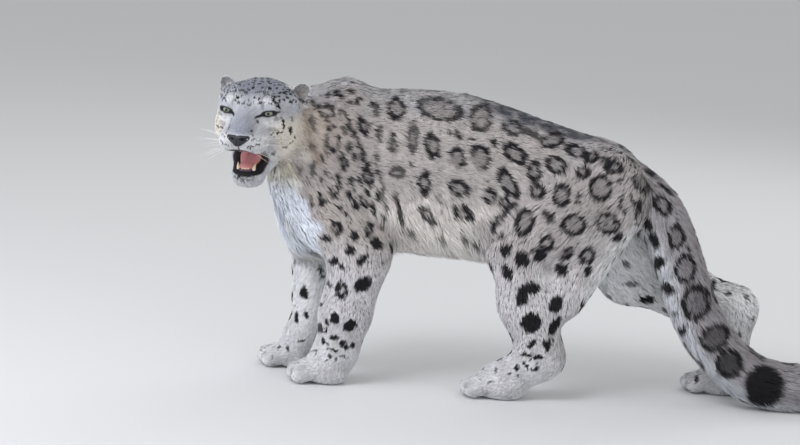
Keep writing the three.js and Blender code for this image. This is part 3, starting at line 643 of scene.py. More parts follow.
# Markings of the left side: place, long and short half sizes in millimetres, lean of the long axis
# clockwise from upright as seen from the left, then kind and strength in tenths.
BODY_MARKS = """
-21 -70 554 24 18 -4 R8; 65 -68 559 48 24 98 D6; 146 -70 548 28 24 6 D6; 144 -71 547 6 4 86 S4;
-25 -103 504 6 6 -4 S8; -22 -109 485 14 10 -4 R5; 16 -105 505 34 12 -4 D5; 54 -111 491 28 15 -12 R7;
87 -101 516 8 3 146 S8; 103 -101 515 10 5 141 S7; 104 -117 471 24 16 -19 C9; 149 -112 474 28 20 -19 C9;
135 -113 477 4 4 -4 S8; 131 -101 509 8 3 81 S7; 174 -99 504 11 7 -34 S9; 217 -102 485 30 17 126 R8;
256 -115 456 24 14 1 R8; 207 -119 428 36 16 144 R7; 174 -120 400 18 14 -4 D7; 202 -123 390 16 10 16 D7;
16 -118 452 8 3 136 S5; -11 -118 434 16 13 86 R5; 45 -120 416 28 12 -4 R8; 112 -121 411 22 17 111 R9;
-9 -113 380 12 7 166 S5; 1 -102 347 30 5 161 S6; 54 -106 350 24 11 144 R6; 124 -110 359 26 14 121 D7;
179 -134 347 16 8 21 S7; 207 -130 374 26 6 41 S7; 194 -151 331 8 6 16 S6; 27 -77 305 10 7 -4 S5;
88 -68 294 8 6 -4 S3; 130 -82 305 14 5 166 S5; 172 -143 316 8 4 -4 S3; 71 -121 444 8 4 -4 S2;
77 -118 389 6 6 -4 S2; -137 -64 574 11 7 136 S9; -200 -105 418 14 4 -8 S3; -180 -108 470 9 4.5 10 S3;
-173 -118 358 9 5 10 S2; -158 -65 571 6 4 -4 S8; -170 -64 570 3 3 -4 S7;
-114 -57 581 9 5 96 S9; -114 -71 561 6 5 -4 S9; -97 -65 565 10 5.6 46 S9; -182 -82 559 8 4 136 S8;
-170 -86 549 6 5 -4 S8; -157 -81 553 6 4.4 -4 S8; -147 -82 550 5 5.2 -4 S8; -130 -86 542 5 4 -4 S8;
-145 -90 537 6 3 -4 S8; -165 -94 536 6 3.2 146 S7; -156 -96 529 6 4 -4 S8; -131 -93 529 4 3.2 -4 S7;
-118 -87 537 8 3.2 136 S8; -111 -94 520 14 3.4 166 S8; -92 -86 533 8 4.4 151 S8; -83 -95 517 20 10 156 R8;
-69 -62 559 6 5 -4 S8; -59 -71 551 14 5.2 1 S6; -51 -100 506 18 4.8 -1 S6; -179 -106 517 16 5 166 S4;
-151 -105 505 10 4 6 S7; -142 -100 515 8 3.2 141 S8; -153 -111 484 18 3.2 1 S6; -130 -105 495 6 3.6 -4 S7;
-129 -108 481 14 4 -4 S6; -120 -100 507 10 6 136 R5; -97 -103 499 14 3.4 148 S8; -86 -109 477 18 4 151 S7;
-108 -108 477 12 4.4 171 S8; -140 -111 467 9 5 136 S8; -149 -113 457 6 3.2 -4 S8;
-161 -114 454 6 3.6 -4 S6; -156 -114 445 4 3 -4 S7; -95 -112 459 8 7 -4 S8; -117 -112 447 18 8 166 R8;
-74 -114 451 16 5.2 146 S8; -67 -116 424 24 10 161 R8; -54 -113 462 18 3.2 171 S6;
-48 -116 431 16 3.4 161 S6; -175 -119 428 16 6 6 S4; -149 -115 424 5 4 -4 S7; -158 -118 410 5 4 -4 S8;
-127 -113 415 7 6.4 -4 S7; -122 -115 398 10 4 -4 S8; -99 -114 411 8 6 -4 S8; -92 -113 394 14 3.2 159 S7;
-82 -115 411 10 3.6 149 S7; -139 -118 389 8 3.4 4 S8; -130 -119 380 8 7 -4 S8; -157 -123 377 6 4.4 -4 S7;
-153 -124 365 9 6 41 S8; -101 -114 383 9 4.4 161 S8; -71 -109 371 18 10 151 C9; -88 -112 362 10 7.2 146 S9;
-64 -112 388 8 3.4 146 S8; -44 -112 383 12 6 -4 S9; -51 -104 356 16 4.6 161 S9; -27 -103 353 16 3.4 161 S6;
-36 -115 398 24 3.6 168 S5; -117 -122 354 6 4.4 -4 S8; -106 -121 343 6 3.4 156 S8;
-122 -127 315 16 12 -4 C8; -142 -124 293 11 5.2 106 S8; -30 -96 336 6 4.4 -4 S9; -35 -92 321 7 4.4 56 S9;
-59 -114 315 15 8 16 R8; -84 -129 304 10 9 -4 S8; -44 -123 290 13 9.6 146 S9; -93 -137 275 12 8 81 S8;
-67 -138 261 16 8 46 S9; -127 -123 248 10 7.2 56 S9; -111 -131 243 9 5.4 126 S8; -197 -13 266 8 6 -4 S6;
-189 69 192 10 7.2 126 S7; -152 27 200 14 5.2 156 S7; -135 -111 201 7 4.4 146 S6; -32 -119 256 6 3.2 -4 S5;
-66 -128 209 20 13 51 S9; -106 -128 194 18 12 166 R9; -181 27 156 11 9.2 -4 S9; -150 -90 158 4 2.4 -4 S5;
-176 20 111 7 5.6 -4 S8; -196 29 104 10 4 -4 S8; -116 -126 137 12 9.2 166 S9; -84 -125 125 16 11 51 S9;
-132 -117 126 7 4.4 146 S8; -145 -100 110 10 5.2 -4 S6; -133 -113 109 6 2.6 -4 S7;
-114 -120 98 9 5.2 76 S9; -133 -112 87 8 4.4 146 S8; -97 -119 87 8 6 46 S9; -89 -117 79 6 4 -4 S7;
-77 -111 83 6 4 11 S9; -114 -120 74 11 3.2 91 S9; -92 -117 61 8 2.6 116 S8; -150 -102 64 4 3 -4 S4;
-119 -120 59 4 2.8 -4 S6; -125 -119 51 3 2.4 -4 S6; -107 -120 54 5 2.4 -4 S4; -208 13 40 7 2.4 146 S8;
-239 8 22 5 2.4 -4 S7; -227 22 43 3 2.4 -4 S6; -185 12 58 6 2.4 76 S6; 210 -70 532 26 16 101 D6;
248 -68 523 24 6 116 S5; 291 -66 514 26 16 71 D7; 337 -79 497 24 14 104 R8; 366 -92 487 15 11 56 R9;
388 -98 479 13 10 6 C8; 410 -100 471 21 14 101 R9; 298 -107 470 22 18 116 R9; 350 -113 459 15 11.6 76 R9;
385 -117 430 27 23 -4 R7; 262 -133 418 17 14 -4 R7; 309 -139 414 23 19 -4 R8; 342 -135 414 8 4 -4 S8;
343 -138 401 6 5.6 -4 S9; 427 -108 402 14 5.2 1 S6; 434 -104 384 6 4 126 S6; 451 -101 405 16 2.8 164 S8;
460 -87 369 20 2.4 168 S7; 422 -106 443 8 2.6 136 S8; 239 -147 357 29 19 6 R8; 288 -149 371 15 10 126 S6;
336 -146 358 26 22 96 R9; 404 -117 362 26 20 116 D7; 423 -97 334 10 10 -4 S7; 287 -148 317 18 14 -4 R8;
279 -147 289 14 11 56 S8; 265 -152 297 7 4 106 S7; 206 -158 299 14 11 21 S9; 244 -156 282 17 15.6 -4 S9;
326 -137 295 16 12 36 C9; 319 -132 265 14 13 -4 S10; 368 -122 295 18 16 16 R8; 363 -92 265 10 9 -4 S8;
214 -148 251 17 9.6 156 S9; 268 -152 229 17 12 70 S10; 248 -151 208 16 12 10 S10;
246 -151 223 8 8 0 S9; 317 -133 208 12 6 71 S8; 316 -136 197 16 12 26 S9;
270 -144 159 21 19 -4 S10; 322 -135 152 20 9.6 24 S10; 275 -132 118 12 5.4 51 S9; 308 -141 118 13 5.4 4 S9;
298 -140 121 6 4 -4 S7; 267 -132 93 12 4 86 S10; 289 -139 91 10 4 86 S9; 325 -138 127 4 2.4 76 S6;
247 -139 68 5 4.4 -4 S9; 252 -144 51 4 3.2 -4 S8; 267 -140 71 8 3.4 146 S9; 262 -138 77 4 3.2 56 S7;
285 -140 68 8 3.4 81 S8; 274 -137 85 3 2.4 -4 S5; 288 -140 79 3 2.8 -4 S6; 207 -135 60 5 2.4 -4 S4;
234 -144 56 3 2.8 -4 S5; 198 -146 37 6 2.8 76 S3; 469 -87 438 24 16 126 C8; 515 -67 398 24 16 146 R8;
466 -92 393 14 6.8 -4 S8; 547 -75 364 8 6 -4 S6; 546 -84 339 24 18 1 R7; 574 -85 311 14 4.4 156 S7;
568 -94 278 28 23 1 R8; 595 -100 213 38 31 1 R9; 595 -100 213 28 22 1 S1;
638 -103 146 34 26 51 R9; 638 -103 146 26 19 51 S3; 670 -105 96 30 28 -4 R10; 670 -105 96 23 21 -4 S5;
745 -102 55 44 40 -4 R10; 745 -102 55 38 34 -4 S7; 489 -63 354 12 10 -4 S8;
503 -70 326 18 8 156 S9; 516 -73 283 15 11 16 S9;
536 -78 233 13 10 116 S9; 554 -79 184 6 4.8 -4 S5; 574 -84 150 10 7.6 -4 S9; 621 41 41 8 3.6 1 S8;
451 -66 485 16 6 118 S9; 490 -25 456 18 6 118 S8; 514 -40 434 8 4 126 S7; 527 -43 423 14 4.4 131 S8;
644 57 224 12 6.4 -4 S9; 674 48 213 5 4 -4 S7; 514 73 183 14 8 81 S7; 479 66 213 14 6 86 S4
"""
# Markings of the face on the head's own axes; those off the middle are mirrored.
FACE_MARKS = """
79.1 16.6 60.8 9 1.6 58 S8; 79.1 35.2 57.9 6 2.2 126 S8; 86 50.2 48.4 6.8 2.6 151 S9;
79.8 56.7 38.4 6.8 2.6 128 S9; 97.3 29.6 44.2 12 2.4 174 S4; 93.2 47 41.2 2.2 2 -4 S7;
12.7 47.7 65.6 8 2 76 S6; 60.2 -39 61 2.4 2 -4 S8; 77.9 -21.9 60.7 2.4 2 -4 S7;
63.6 -18.9 69.1 2.4 1.8 -4 S7; 97.1 -25.6 43.8 2.2 2 -4 S8; 94.3 -20.8 49 2.8 2.2 -4 S9;
96.9 -19.8 40.1 2 1.6 -4 S7; 90.4 -13.2 51.8 2.2 1.8 -4 S8; 96.8 -8.4 39.6 2.2 1.8 -4 S7;
86.5 -6 55.6 2.4 1.6 -4 S7; 93.2 0.7 46.8 2.2 1.8 -4 S7; 91.3 10.8 50.1 2.2 1.8 -4 S8;
98.5 6.4 37 2 1.6 -4 S7; 99 0.5 36.4 1.8 1.6 -4 S7; 95.5 11.9 42.3 2 1.6 -4 S7;
-4.2 71.5 38.5 6.8 2.2 78 S8; -6.9 90.1 38.7 4 3.2 -4 S8; 74.9 69.5 4.3 11.6 2.2 159 S9;
47.7 74.7 10.5 3.4 2.4 -4 S6; 56.2 81.1 -11.6 7.6 3 146 S9; 39.5 84.4 -25.3 3.4 2.8 -4 S9;
44.2 79.9 -38.9 4.4 2.4 86 S8; 49.4 70.4 -54.6 4.8 2.8 66 S7; 64.4 56.8 -67.8 4 2.8 46 S6;
85.7 64.7 -14.3 3 2.4 -4 S9; 80.5 69.9 -14.3 3 2.4 -4 S9; 92 54.6 -16 3 2 66 S8;
86.2 58.5 -25.3 2 1.4 -4 S4; 74.3 68.8 -28.1 2.4 1.6 -4 S4; 64.3 67.5 -38.6 2.4 1.6 -4 S4;
86 57.8 13.3 8 3.2 101 S4; 91.9 52.9 -6.3 8 4 86 S3; 109.9 24.3 5.8 3.8 1.8 6 S7;
130.4 22.7 -8.9 2.8 2.4 -4 S8; 135 26.1 -18.9 2.2 1.8 -4 S6; 136.8 30.1 -25.4 2.4 1.8 -4 S8;
132.6 35.7 -23.9 1.8 1.4 -4 S7; 128.4 39.2 -22.9 1.8 1.4 -4 S7; 122.8 42.6 -22 1.8 1.4 -4 S6;
138.2 31.6 -37.6 2.2 1.4 76 S8; 135.6 36.7 -36.6 2.2 1.4 76 S8; 131.7 41.4 -35.2 2.2 1.4 76 S8;
138.5 20.7 -42.4 1.8 1.4 -4 S8; 138 25.8 -42.7 1.8 1.4 -4 S8; 137.3 30.6 -41.5 1.8 1.4 -4 S7;
129 14.5 -49.8 1.6 1.4 -4 S7; 128.9 25.7 -51.2 1.6 1.4 -4 S7;
94 -10 -107 2.6 2 10 S8; 95 -2 -110 2.8 2 -10 S8; 94 5 -107 2.4 2 30 S8; 93 -6 -115 2.4 1.8 4 S7;
92 4 -116 2.6 1.8 -20 S7; 91 12 -110 2.4 1.8 10 S7; 88 18 -107 2.2 1.6 30 S6
"""


class Kind(Enum):
    """Kinds of marking."""

    RING = "R"
    DOTTED = "D"
    OPEN = "C"
    SPOT = "S"


@dataclass
class Marks:
    """Every marking, as arrays: place, outward direction, long and short axes, half sizes, kind, strength."""

    at: Points
    out: Points
    long_axis: Points
    half_long: Points
    half_short: Points
    kind: list
    strength: Points

    @classmethod
    def from_rows(cls, rows: Sequence[tuple], flesh: Flesh) -> "Marks":
        """Make markings from rows of (place, out, long axis, half long, half short, kind, strength).

        Args:
            rows: The rows.
            flesh: The body, whose surface they are moved onto.

        Returns:
            The markings.
        """
        at, _ = flesh.settle(np.array([row[0] for row in rows], float), 2)
        return cls(at, unit(np.array([row[1] for row in rows], float)), unit(np.array([row[2] for row in rows], float)),
                   np.array([row[3] for row in rows], float), np.array([row[4] for row in rows], float),
                   [row[5] for row in rows], np.array([row[6] for row in rows], float))

    def joined(self, other: "Marks") -> "Marks":
        """Return these markings and another's together."""
        pairs = [(getattr(self, name), getattr(other, name)) for name in self.__dataclass_fields__]
        return Marks(*(a + b if isinstance(a, list) else np.concatenate([a, b]) for a, b in pairs))

    def shade(self, p: Points, n: Points) -> Points:
        """Work out how dark the markings are.

        Args:
            p: Places on or near the surface.
            n: Outward normals there.

        Returns:
            0 for the ground colour up to 1 for the darkest, at each place.
        """
        dark = np.zeros(len(p))
        order = np.argsort(p[:, 0], kind="stable")
        xs = p[order, 0]
        edge = p + 2.0 * np.stack([ripple(p, 12, 31), ripple(p, 12, 32), ripple(p, 12, 33)], 1)
        edge = edge + 0.9 * np.stack([ripple(p, 5, 36), ripple(p, 5, 37), ripple(p, 5, 38)], 1)
        gaps = ripple(p, 17, 34)
        for i in range(len(self.at)):
            reach = self.half_long[i] * 1.25 + 3
            near = order[np.searchsorted(xs, self.at[i, 0] - reach - 4):np.searchsorted(xs, self.at[i, 0] + reach + 4)]
            away = edge[near] - self.at[i]
            depth = away @ self.out[i]
            along = self.long_axis[i] - (self.long_axis[i] @ self.out[i]) * self.out[i]
            along = along / max(np.linalg.norm(along), 1e-6)
            u = away @ along
            w = away @ np.cross(self.out[i], along)
            size = np.sqrt((u / self.half_long[i]) ** 2 + (w / self.half_short[i]) ** 2)
            fair = (np.abs(depth) < reach + 14) & (n[near] @ self.out[i] > -0.05) & (size < 1.3)
            near, u, w, size = near[fair], u[fair], w[fair], size[fair]
            small = self.half_short[i]
            blur = np.clip(1.9 / small, 0.08, 0.45)
            disc = 1 - smooth(size, 1 - blur * 0.6, 1 + blur)
            kind = self.kind[i]
            if kind is Kind.SPOT or small < 6:
                value = disc
            else:
                band = np.clip(7.6 / small, 0.34, 0.6)
                ring = disc * smooth(size, 1 - band - blur, 1 - band + 0.35 * blur)
                breaks = gaps[near] * (1.0 if kind is Kind.DOTTED else 0.55)
                ring = ring * np.clip(1.0 - smooth(breaks, 0.45, 1.1) * (0.9 if kind is Kind.DOTTED else 0.7), 0, 1)
                if kind is Kind.OPEN:
                    ring = ring * (1 - 0.85 * smooth(w / small - 0.4 * u / small, 0.25, 0.8))
                value = np.maximum(ring, 0.38 * disc)
            dark[near] = np.maximum(dark[near], value * self.strength[i])
        return dark


def linear(hex_colour: str) -> Points:
    """Return an sRGB hex colour as linear red, green and blue."""
    value = np.array([int(hex_colour[i:i + 2], 16) for i in (1, 3, 5)]) / 255
    return np.where(value <= 0.04045, value / 12.92, ((value + 0.055) / 1.055) ** 2.4)


@dataclass(frozen=True)
class Dyes:
    """Colours of the coat and the bare skin. Three of them carry painted shade: the brown behind the cheek ruff in
    part, the ears' hollows and the mouth's depths.
    """

    back: str = "#a9a8ab"
    flank: str = "#b0aaa9"
    shoulder: str = "#a59e9e"
    low: str = "#d3cdca"
    belly: str = "#ece7e2"
    neck: str = "#afa296"
    # Partly the neck's own brown, partly a painted shadow in the crease behind the cheek ruff.
    ruff_shade: str = "#948371"
    bib: str = "#e4eaf5"
    flash: str = "#fbfcff"
    throat_coat: str = "#d6d0bc"
    thigh: str = "#b3adad"
    arm: str = "#b1aaa7"
    leg: str = "#d1cfd3"
    leg_inside: str = "#eff1f4"
    paw: str = "#e3e3e7"
    tail: str = "#9d999e"
    tail_under: str = "#d3d5dc"
    face: str = "#c3c5cd"
    crown: str = "#8b8f9a"
    bridge: str = "#a0a5b3"
    cheek: str = "#f2eade"
    muzzle: str = "#e2e2e6"
    chin: str = "#d3d4da"
    # Painted shade in the hollow of each ear.
    ear_cup: str = "#4f463e"
    dark: str = "#151419"
    spine: str = "#41434c"
    lip: str = "#17151a"
    palate: str = "#b0675c"
    # Near black lining deep in the open mouth: painted shade.
    throat: str = "#2a1215"


@dataclass
class Sample:
    """Places on the surface with everything that the coat there depends on."""

    at: Points
    out: Points
    parts: Points
    weights: Points
    local: Points


@dataclass
class Pelt:
    """Colour, lie and length of the coat at any place on the body."""

    flesh: Flesh
    dyes: Dyes = field(default_factory=Dyes)
    marks: Marks | None = None
    soft: float = 13.0

    def sample(self, p: Points, n: Points) -> Sample:
        """Measure places on the surface.

        Args:
            p: The places.
            n: Outward normals there.

        Returns:
            The places with their regions.
        """
        parts = self.flesh.parts(p)
        limbs = parts[:, :len(Region)]
        weights = np.exp(-(limbs - limbs.min(1, keepdims=True)) / self.soft)
        return Sample(p, n, parts, weights / weights.sum(1, keepdims=True), self.flesh.local(p))

    @staticmethod
    def path_way(p: Points, path: Points) -> Points:
        """Return the direction of the nearest stretches of a path at each place.

        Args:
            p: Places.
            path: Points of the path.

        Returns:
            Unit directions.
        """
        total = np.zeros_like(p)
        for a, b in zip(path, path[1:]):
            t = np.clip((p - a) @ (b - a) / ((b - a) @ (b - a)), 0, 1)
            gap = np.linalg.norm(p - a - t[:, None] * (b - a), axis=1)
            total += unit(b - a) / (gap[:, None] + 12) ** 4
        return unit(total)

    def lie(self, s: Sample) -> Points:
        """Work out which way the coat lies.

        Args:
            s: The places.

        Returns:
            Unit directions along the surface.
        """
        flesh = self.flesh
        ways = np.zeros((len(Region), len(s.at), 3))
        ways[Region.TRUNK] = (1, 0, -0.28)
        ways[Region.TRUNK, :, 2] -= 2.2 * smooth(-s.out[:, 2], -0.1, 0.5) + 0.9 * smooth(-s.out[:, 0], 0.2, 0.8)
        throat = smooth(-s.out[:, 0] - s.out[:, 1] * 0.6 - s.out[:, 2], 0.1, 0.9)[:, None]
        ways[Region.NECK] = self.path_way(s.at, flesh.neck_path) * (1 - throat) + np.array((0.25, 0, -1)) * throat
        ways[Region.NECK, :, 2] -= 0.25
        ways[Region.TRUNK, :, 2] -= 2.0 * smooth(s.out[:, 0], 0.15, 0.7)
        for region, limb in zip((Region.FORE_LEFT, Region.FORE_RIGHT, Region.HIND_LEFT, Region.HIND_RIGHT),
                                flesh.limbs.values()):
            ways[region] = self.path_way(s.at, limb.path())
        ways[Region.TAIL] = self.path_way(s.at, flesh.tail_path)
        q = s.local
        spread = unit(q - np.array((150, 0, -18)))
        back = np.array((-1, 0, -0.15)) + np.stack([0 * q[:, 0], 0.012 * q[:, 1], -0.004 * np.abs(q[:, 1])], 1)
        far = smooth(-q[:, 0], -70, 20)[:, None]
        ways[Region.HEAD] = (spread * (1 - far) + unit(back) * far) @ flesh.to_head.T
        way = np.einsum("nk,kni->ni", s.weights, ways)
        swirl = 0.16 * np.stack([ripple(s.at, 60, 41), ripple(s.at, 60, 42), ripple(s.at, 60, 43)], 1)
        way = way + swirl * np.linalg.norm(way, axis=1, keepdims=True)
        return unit(way - (way * s.out).sum(1, keepdims=True) * s.out)

    def low(self, s: Sample) -> Points:
        """Return 1 low on the legs and 0 at their tops."""
        return 1 - smooth(s.at[:, 2], 60, 330)

    def depth(self, s: Sample) -> Points:
        """Return the coat's depth in millimetres at each place.

        Args:
            s: The places.

        Returns:
            The depths.
        """
        low = self.low(s)
        legs = 8 - 4.6 * low
        face = 1.8 + 6.5 * smooth(-s.local[:, 0], -60, 15)
        table = [9 + 4 * smooth(-s.out[:, 2], 0.2, 0.9), 9 + 0 * low, legs, legs, legs + 0.6, legs + 0.6,
                 10 + 0 * low, face]
        made = (s.weights * np.stack(table, 1)).sum(1)
        return made * smooth(self.bare(s), -1.0, 9.0)

    def bare(self, s: Sample) -> Points:
        """Return the distance in millimetres from bare skin: mouth, eyes and nose, at each place.

        Args:
            s: The places.

        Returns:
            The distances, negative on bare skin.
        """
        q, flesh = s.local, self.flesh
        slits = pair(flesh.make_slit)(q)
        nose = ellipsoid((138, 0, -24), (14, 22, 7))(q)
        mouth = flesh.mouth(q) - self.lip_width(q) + 0.6
        near = np.minimum(np.minimum(np.minimum(slits - 1.5, nose), mouth), self.nose_v(q))
        ears = flesh.ears(q)
        cup = pair(flesh.ear_hollow)(q)
        near = np.minimum(near, np.where(ears < 6, np.maximum(cup + 3.0, 0.8), 99))
        return np.where(s.parts[:, Region.HEAD] < 15, near, 99)

    @staticmethod
    def nose_v(q: Points) -> Points:
        """Return the distance in millimetres from the V of bare skin that the nose leather sits in."""
        across = np.abs(q[:, 1]) - 20.5 - 1.15 * (q[:, 2] + 22)
        return np.maximum(np.maximum(0.65 * across, q[:, 2] + 20), 124 - q[:, 0])

    def length(self, s: Sample) -> tuple[Points, Points]:
        """Work out the tufts' length and how far their tips rise.

        Args:
            s: The places.

        Returns:
            Length and rise in millimetres.
        """
        low = self.low(s)
        under = smooth(-s.out[:, 2], -0.05, 0.6)
        q = s.local
        back = smooth(-q[:, 0], -60, 25)
        chin = smooth(-q[:, 2], 80, 105)
        fore, hind = 22 - 14.5 * low, 26 - 18 * low
        bib = smooth(-s.out[:, 0], 0.0, 0.7)
        breech = smooth(s.out[:, 0], 0.3, 0.9) * (1 - low) * (1 - smooth(s.at[:, 2], 300, 350))
        lengths = [27 + 30 * under + 12 * bib, 26 + 14 * bib, fore, fore, hind + 16 * breech, hind + 16 * breech,
                   30 + 0 * low, 6 + 15 * back + 6 * chin]
        rises = [9 + 15 * under, 9 + bib, 7.5 - 4.3 * low, 7.5 - 4.3 * low, 8 - 4.6 * low + 5 * breech,
                 8 - 4.6 * low + 5 * breech, 11 + 0 * low, 2.2 + 5.5 * back + 2 * chin]
        ears = 1 - smooth(self.flesh.ears(q), 2, 10)
        lengths[-1] = lengths[-1] + (8.5 - lengths[-1]) * ears
        rises[-1] = rises[-1] + (2.6 - rises[-1]) * ears
        near = smooth(self.bare(s), 0, 14)
        length = (s.weights * np.stack(lengths, 1)).sum(1) * (0.35 + 0.65 * near)
        rise = (s.weights * np.stack(rises, 1)).sum(1) * (0.25 + 0.75 * near)
        return length, rise

    @staticmethod
    def bib(s: Sample) -> Points:
        """Return 1 on the white bib and the throat, and 0 elsewhere.

        Args:
            s: The places.

        Returns:
            The share of white.
        """
        height = s.at[:, 2]
        edge = np.interp(height, (255, 300, 344, 376, 408, 440, 470), (-150, -152, -172, -190, -202, -218, -238))
        ahead = 1 - smooth(s.at[:, 0] - edge - 7 * ripple(s.at, 38, 56), -10, 10)
        fade = smooth(height, 232, 256) * (1 - smooth(height, 430, 462)) * (1 - smooth(s.out[:, 2], 0.1, 0.5))
        return ahead * fade * (1 - s.weights[:, Region.HEAD])

    def ground(self, s: Sample) -> Points:
        """Work out the coat's colour without its markings, with a painted shadow behind the cheek ruff and painted
        shade in the creases between the toes.

        Args:
            s: The places.

        Returns:
            Linear colours.
        """
        tone = {name: linear(value) for name, value in vars(self.dyes).items()}
        up = s.out[:, 2] + 0.12 * ripple(s.at, 70, 51)

        def mix(a: Points, b: Points, t: Points) -> Points:
            """Return colours between a and b at shares t."""
            return a + (b - a) * t[:, None]

        height = s.at[:, 2]
        ahead = 1 - smooth(s.at[:, 0], -110, -20)
        trunk = mix(tone["back"], tone["flank"], 1 - smooth(up, 0.6, 0.98))
        trunk = mix(trunk, tone["shoulder"], ahead * (1 - smooth(up, 0.5, 0.9)))
        trunk = mix(trunk, tone["low"], (1 - smooth(height, 335, 420)) * (1 - ahead))
        trunk = mix(trunk, tone["belly"], smooth(-up, 0.1, 0.6))
        throat = smooth(-s.out[:, 0] * 0.75 - s.out[:, 2] * 0.9 - 0.1 * s.out[:, 1], 0.25, 0.7)
        neck = mix(tone["neck"], tone["back"], smooth(up, 0.3, 0.9))
        neck = mix(neck, mix(tone["bib"], tone["low"], smooth(height, 385, 425)), throat)
        q = s.local
        # A thin arc on the neck just behind the cheek ruff: partly the neck's real brown, partly a painted shadow where
        # the ruff stands proud of the neck.
        aside = np.abs(q[:, 1]) + 0.33 * q[:, 2]
        shade = np.exp(-((aside - 95) / 6) ** 2) * smooth(q[:, 2], -95, -70) * (1 - smooth(q[:, 2], 15, 45))
        shade = shade * np.clip(0.85 + 0.3 * ripple(s.at * (1, 1, 0.25), 9, 55), 0, 1)
        ways = [trunk, neck]
        for limb in self.flesh.limbs.values():
            inner = smooth(-s.out[:, 1] * limb.side, -0.1, 0.6)
            top = tone["arm"] if limb.path()[0, 0] < 0 else tone["thigh"]
            leg = mix(mix(tone["leg"], top, smooth(height, 190, 330)), tone["leg_inside"], inner)
            breech = smooth(s.out[:, 0], 0.25, 0.8) * smooth(height, 150, 260) * (1 - smooth(height, 320, 372))
            breech = breech * (top is tone["thigh"])
            leg = mix(mix(leg, tone["flash"], breech), tone["paw"], 1 - smooth(height, 50, 130))
            ways.append(leg)
        across = self.path_way(s.at, self.flesh.tail_path)
        ridge = np.array((0.75, 0, 0.66))
        ridge = unit(ridge - (across @ ridge)[:, None] * across)
        ways.append(mix(tone["tail"], tone["tail_under"], smooth(-(s.out * ridge).sum(1), 0.1, 0.75)))
        ways.append(self.face_ground(s, tone, mix))
        made = np.einsum("nk,kni->ni", s.weights, np.stack(ways))
        # Lay the brown and painted shadow behind the ruff over the neck and trunk, not the head.
        made = mix(made, tone["ruff_shade"], 0.8 * shade * (1 - s.weights[:, Region.HEAD]))
        made = mix(made, mix(tone["bib"], tone["throat_coat"], smooth(height, 360, 425)), self.bib(s))
        aft = smooth(s.at[:, 0], 90, 200)
        spine = 1 - smooth(np.abs(s.at[:, 1] - 4) - 24 * aft, 18, 46)
        spine = spine * smooth(s.out[:, 2] + 0.2 * aft, 0.6, 0.9) * s.weights[:, Region.TRUNK]
        strong = 0.16 + 0.72 * aft
        made = mix(made, tone["spine"], spine * np.clip(strong + 0.3 * ripple(s.at, 34, 52), 0, 1))
        made = made * (1 + 0.07 * ripple(s.at, 24, 53) + 0.05 * ripple(s.at, 9, 54))[:, None]
        # Painted shade: darker in the creases between the toes, where moving 7 mm out from the surface gains less than
        # 7 mm of clearance.
        toes = np.flatnonzero((height < 70) & (s.weights[:, Region.TAIL] < 0.3))
        if len(toes):
            room = self.flesh.whole(s.at[toes] + 7 * s.out[toes]) - self.flesh.whole(s.at[toes])
            made[toes] *= (1 - 0.62 * smooth(7 - room, 0.5, 3.5))[:, None]
        return made

    def face_ground(self, s: Sample, tone: dict, mix: Callable) -> Points:
        """Work out the colour of the head without its markings.

        Args:
            s: The places.
            tone: Linear colours by name.
            mix: Blends two colours.

        Returns:
            Linear colours.
        """
        q = s.local
        f, side, u = q[:, 0], np.abs(q[:, 1]), q[:, 2]
        made = mix(tone["face"], tone["crown"], smooth(s.out[:, 2], 0.1, 0.9) * smooth(u, 36, 68))
        made = mix(made, tone["cheek"], smooth(side, 36, 64) * (1 - smooth(u, -8, 30)))
        bridge = (1 - smooth(side, 12, 30)) * smooth(f, 90, 108) * (1 - smooth(u, 0, 44)) * smooth(u, -36, -26)
        made = mix(made, tone["bridge"], bridge * 0.85)
        edge = np.exp(-((side - 24) / 4.5) ** 2) * smooth(f, 88, 100) * (1 - smooth(u, 4, 16)) * smooth(u, -22, -12)
        made = mix(made, tone["spine"], 0.3 * edge)
        muzzle = smooth(f, 92, 108) * (1 - smooth(u, -26, -12)) * smooth(u, -75, -60)
        made = mix(made, tone["muzzle"], muzzle)
        made = mix(made, tone["chin"], 1 - smooth(u, -95, -75))
        flash = np.exp(-((f - 92) / 15) ** 2 - ((side - 34) / 15) ** 2 - ((u - 46) / 9) ** 2)
        made = mix(made, tone["flash"], 0.85 * flash)
        under = np.exp(-((side - 45) / 13) ** 2 - ((u - 8) / 5.5) ** 2) * smooth(f, 60, 80)
        made = mix(made, tone["flash"], 0.8 * under)
        mottle = np.exp(-((u + 106) / 8) ** 2) * smooth(f, 40, 60) * (1 - smooth(side, 16, 28))
        made = mix(made, tone["dark"], mottle * (0.42 + 0.4 * ripple(q, 7, 57)))
        cheek_flash = np.exp(-((side - 50) / 14) ** 2 - ((u - 2) / 9) ** 2) * smooth(f, 60, 80)
        made = mix(made, tone["flash"], 0.5 * cheek_flash)
        ears = self.flesh.ears(q)
        cup = pair(self.flesh.ear_hollow)(q)
        on_ear = 1 - smooth(ears, 2, 9)
        made = mix(made, tone["muzzle"], on_ear * 0.7)
